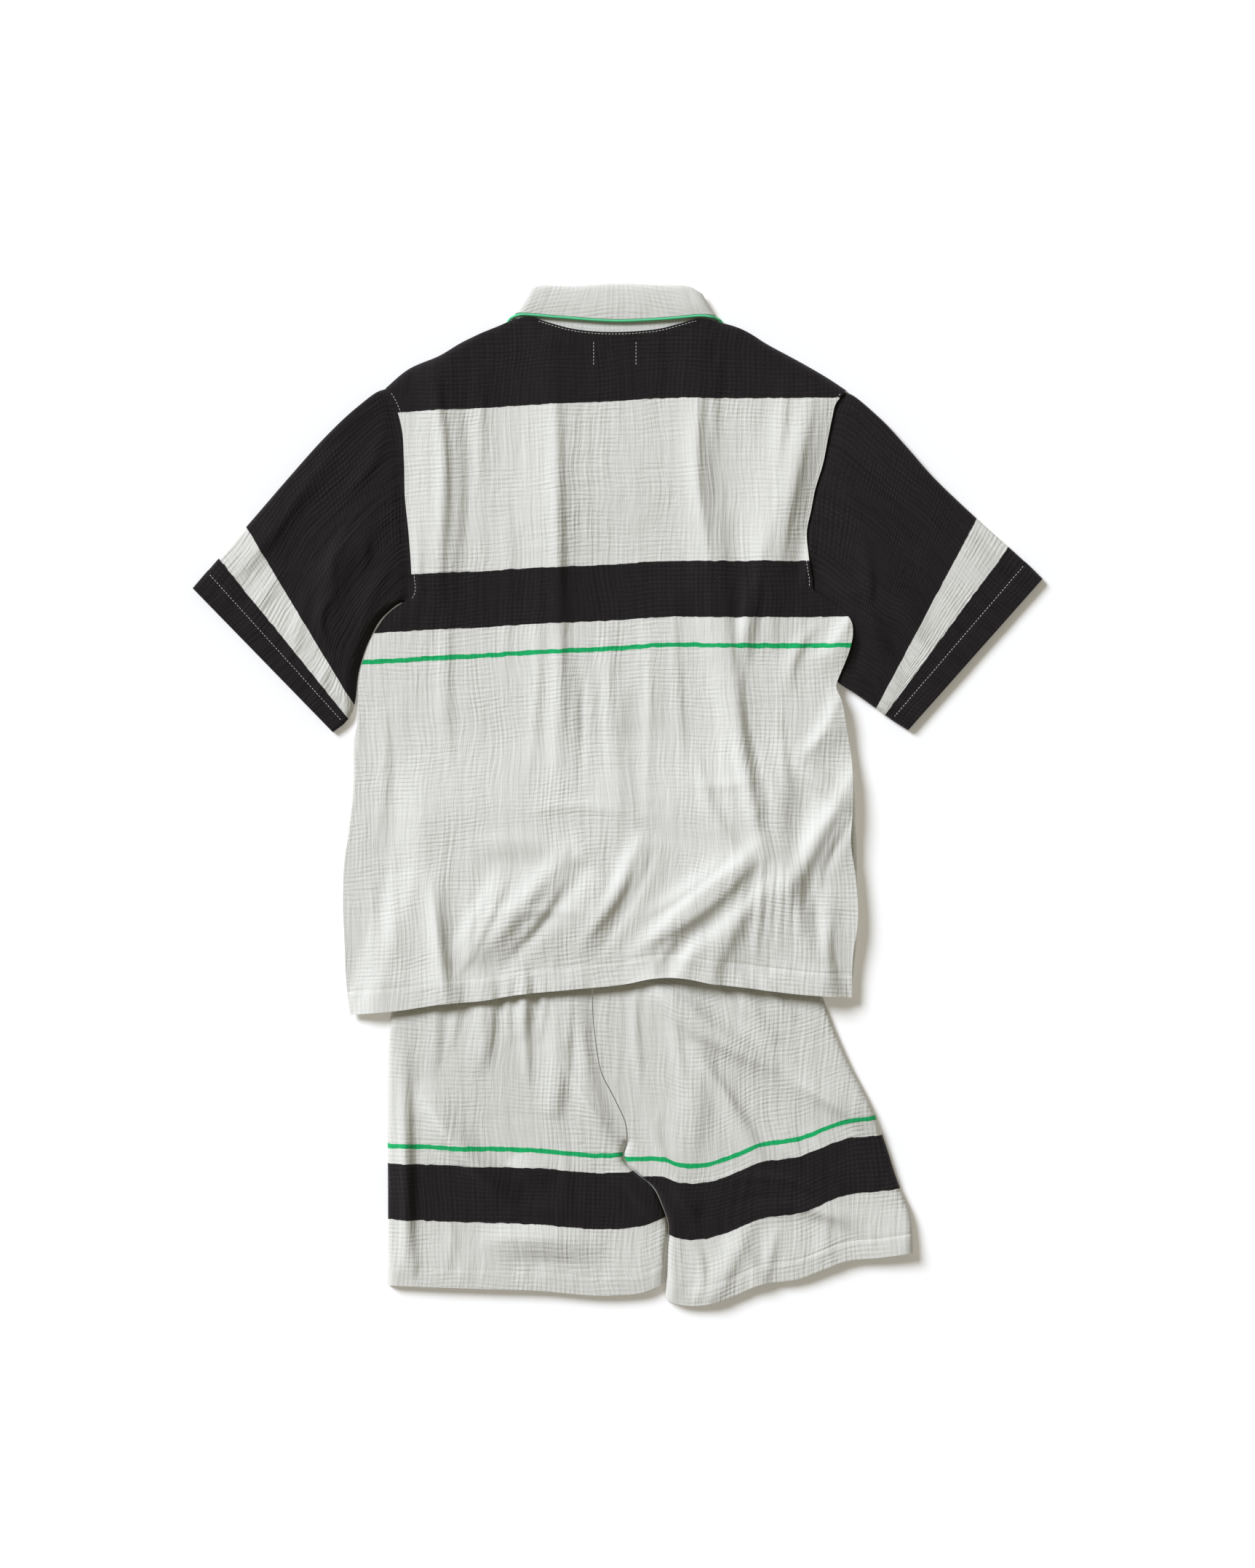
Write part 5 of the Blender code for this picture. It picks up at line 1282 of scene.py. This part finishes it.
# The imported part's place, from its first button
button_low, button_high = (np.array(corner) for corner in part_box("button_1"))
button_spot = np.array([*button_places()[0], 0.0]) * MM
SHIFT = np.array([*((button_low + button_high) / 2)[:2], button_low[2]]) - button_spot

shirt_cloth = gauze("shirt_gauze", OFF_WHITE, SHIRT_BANDS)
sleeve_cloth = gauze("sleeve_gauze", INK, SLEEVE_BANDS, 1.5)
# The shorts' ground is the off-white with painted shade
leg_cloth = gauze("shorts_gauze", PAINTED_SHADE_WHITE, LEG_BANDS)
plain_cloth = gauze("plain_gauze", OFF_WHITE, [], 0.6)
piping_cover = twill("piping_twill", PIPING_GREEN)
thread = grained("stitch_thread", THREAD, {"Scale": 2600.0, "Detail": 2.0}, (0.3, 0.85), 0.6, 0.55,
                 {"Sheen Weight": 0.1})
shell = grained("shell", SHELL, {"Scale": 160.0, "Detail": 3.0, "Distortion": 1.5}, (0.24, 0.86),
                0.4, (0.2, 0.2), {"Coat Weight": 0.3, "Coat Roughness": 0.15})

back = shirt_back(shirt_cloth)
front_left = shirt_front("front_left_gauze", -1, FRONT_LEFT, shirt_cloth)
front_right = shirt_front("front_right_gauze", 1, FRONT_RIGHT, shirt_cloth)
sleeve_left = sleeve("sleeve_left_gauze", -1, LEFT_SLEEVE, LEFT_SLEEVE_RELIEF, FRONT_LEFT,
                     BACK_LEFT, SLEEVE_LENGTHS[0], sleeve_cloth, 51)
sleeve_right = sleeve("sleeve_right_gauze", 1, RIGHT_SLEEVE, RIGHT_SLEEVE_RELIEF, FRONT_RIGHT,
                      BACK_RIGHT, SLEEVE_LENGTHS[1], sleeve_cloth, 61)
neck_collar, piping = collar(plain_cloth, piping_cover)
left_back, left_front = leg(
    "shorts_left", -1, LEG_LEFT_OUTER, LEG_LEFT_INNER, LEG_LEFT_HEM, leg_cloth, 81)
right_back, right_front = leg(
    "shorts_right", 1, LEG_RIGHT_OUTER, LEG_RIGHT_INNER, LEG_RIGHT_HEM, leg_cloth, 91)
waist = waistband(plain_cloth)

# Topstitching: hems, armholes, left side seam, neck, two short bars below it, and the placket
hem_x = np.linspace(-280, 247, 160)
hem_y = through(BACK_HEM, hem_x) + HEM_DEPTH - HEM_INSET
left_y, right_y = np.linspace(209, 428, 90), np.linspace(222, 428, 90)
side_y, front_y = np.linspace(-224, 118, 120), np.linspace(-196, 378, 150)
neck_x = np.linspace(-84, 84, 70)
stitches_back = stitches("shirt_back", back, [
    (hem_x, hem_y),
    (through(BACK_LEFT, left_y) + ARMHOLE_INSET, left_y),
    (through(BACK_RIGHT, right_y) - ARMHOLE_INSET, right_y),
    (through(BACK_LEFT, side_y) + SIDE_INSET, side_y),
    (neck_x, through(BACK_TOP, neck_x) - NECK_INSET),
    *(([x, x], BAR_ENDS) for x in BAR_PLACES),
])
stitches_left = stitches("front_left", front_left, [
    *((through(FRONT_CENTRE, front_y) + off, front_y) for off in PLACKET_STITCHES),
    (hem_x[hem_x < 0], hem_y[hem_x < 0]),
], (-1,))
stitches_right = stitches("front_right", front_right, [
    (hem_x[hem_x > 18], hem_y[hem_x > 18]),
], (-1,))
cuffs = [
    stitches(f"cuff_{tag}", piece, [across_sleeve(sections, CUFF_SHARE + 0.004)], (1, -1))
    for tag, piece, sections in (
        ("left", sleeve_left, LEFT_SLEEVE), ("right", sleeve_right, RIGHT_SLEEVE),
    )
]
hems = []
for tag, pair, table in (
    ("left", (left_back, left_front), LEG_LEFT_HEM),
    ("right", (right_back, right_front), LEG_RIGHT_HEM),
):
    x = np.linspace(table[0][0] + 4, table[-1][0] - 4, 90)
    line = (x, through(table, x) + LEG_HEM_DEPTH - HEM_INSET)
    hems += [stitches(f"shorts_{tag}_back", pair[0], [line]),
             stitches(f"shorts_{tag}_front", pair[1], [line], (-1,))]

stands_for = {
    back: "shirt_back", front_left: "shirt_front_left", front_right: "shirt_front_right",
    sleeve_left: "sleeve_left", sleeve_right: "sleeve_right", neck_collar: "collar",
    left_back: "shorts_left_back", left_front: "shorts_left_front",
    right_back: "shorts_right_back", right_front: "shorts_right_front",
    waist: "shorts_waistband", piping: "collar_piping",
}
for piece, node in stands_for.items():
    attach(piece, "root")
    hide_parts(node)
for piece in [stitches_back, stitches_left, stitches_right, *cuffs, *hems]:
    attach(piece, "root")
for number in range(1, BUTTON_COUNT + 1):
    for material_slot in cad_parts[f"button_{number}"].material_slots:
        material_slot.material = shell

# Floor, light and camera
paper, paper_tree = new_material("white_paper")
for name, value in {
    "Base Color": (0.98, 0.98, 0.98, 1), "Roughness": 0.9, "Specular IOR Level": 0.0,
    "Emission Color": FLOOR_GLOW, "Emission Strength": FLOOR_GLOW_STRENGTH,
}.items():
    paper_tree.nodes["Principled BSDF"].inputs[name].default_value = value
floor_mesh = bpy.data.meshes.new("floor")
floor_corners = [
    (x * reach, y * reach, FLOOR_Z)
    for reach in FLOOR_REACHES for x, y in ((-1, -1), (1, -1), (1, 1), (-1, 1))
]
floor_mesh.from_pydata(
    floor_corners, [], [(0, 1, 2, 3), (4, 5, 1, 0), (5, 6, 2, 1), (6, 7, 3, 2), (7, 4, 0, 3)])
floor_mesh.materials.append(paper)
linked("floor", floor_mesh)

scene = bpy.context.scene
scene.world = scene.world or bpy.data.worlds.new("World")
scene.world.use_nodes = True
sky = scene.world.node_tree.nodes["Background"]
sky.inputs["Color"].default_value = SKY_COLOUR
sky.inputs["Strength"].default_value = SKY_STRENGTH
sun = bpy.data.lights.new("key", "SUN")
sun.energy, sun.angle, sun.color = SUN_ENERGY, SUN_ANGLE, SUN_COLOUR
lamp = linked("key", sun)
lamp.rotation_mode = "QUATERNION"
lamp.rotation_quaternion = Vector(SUN_DIRECTION).to_track_quat("-Z", "Y")
view = scene.view_settings
view.view_transform, view.look, view.exposure, view.gamma = "Standard", "None", 0.0, 1.0

camera = bpy.data.cameras.new("camera")
camera.sensor_width, camera.lens = SENSOR_WIDTH, LENS
camera.clip_start, camera.clip_end = NEAREST, FARTHEST
scene.camera = linked("camera", camera)
scene.camera.location = EYE
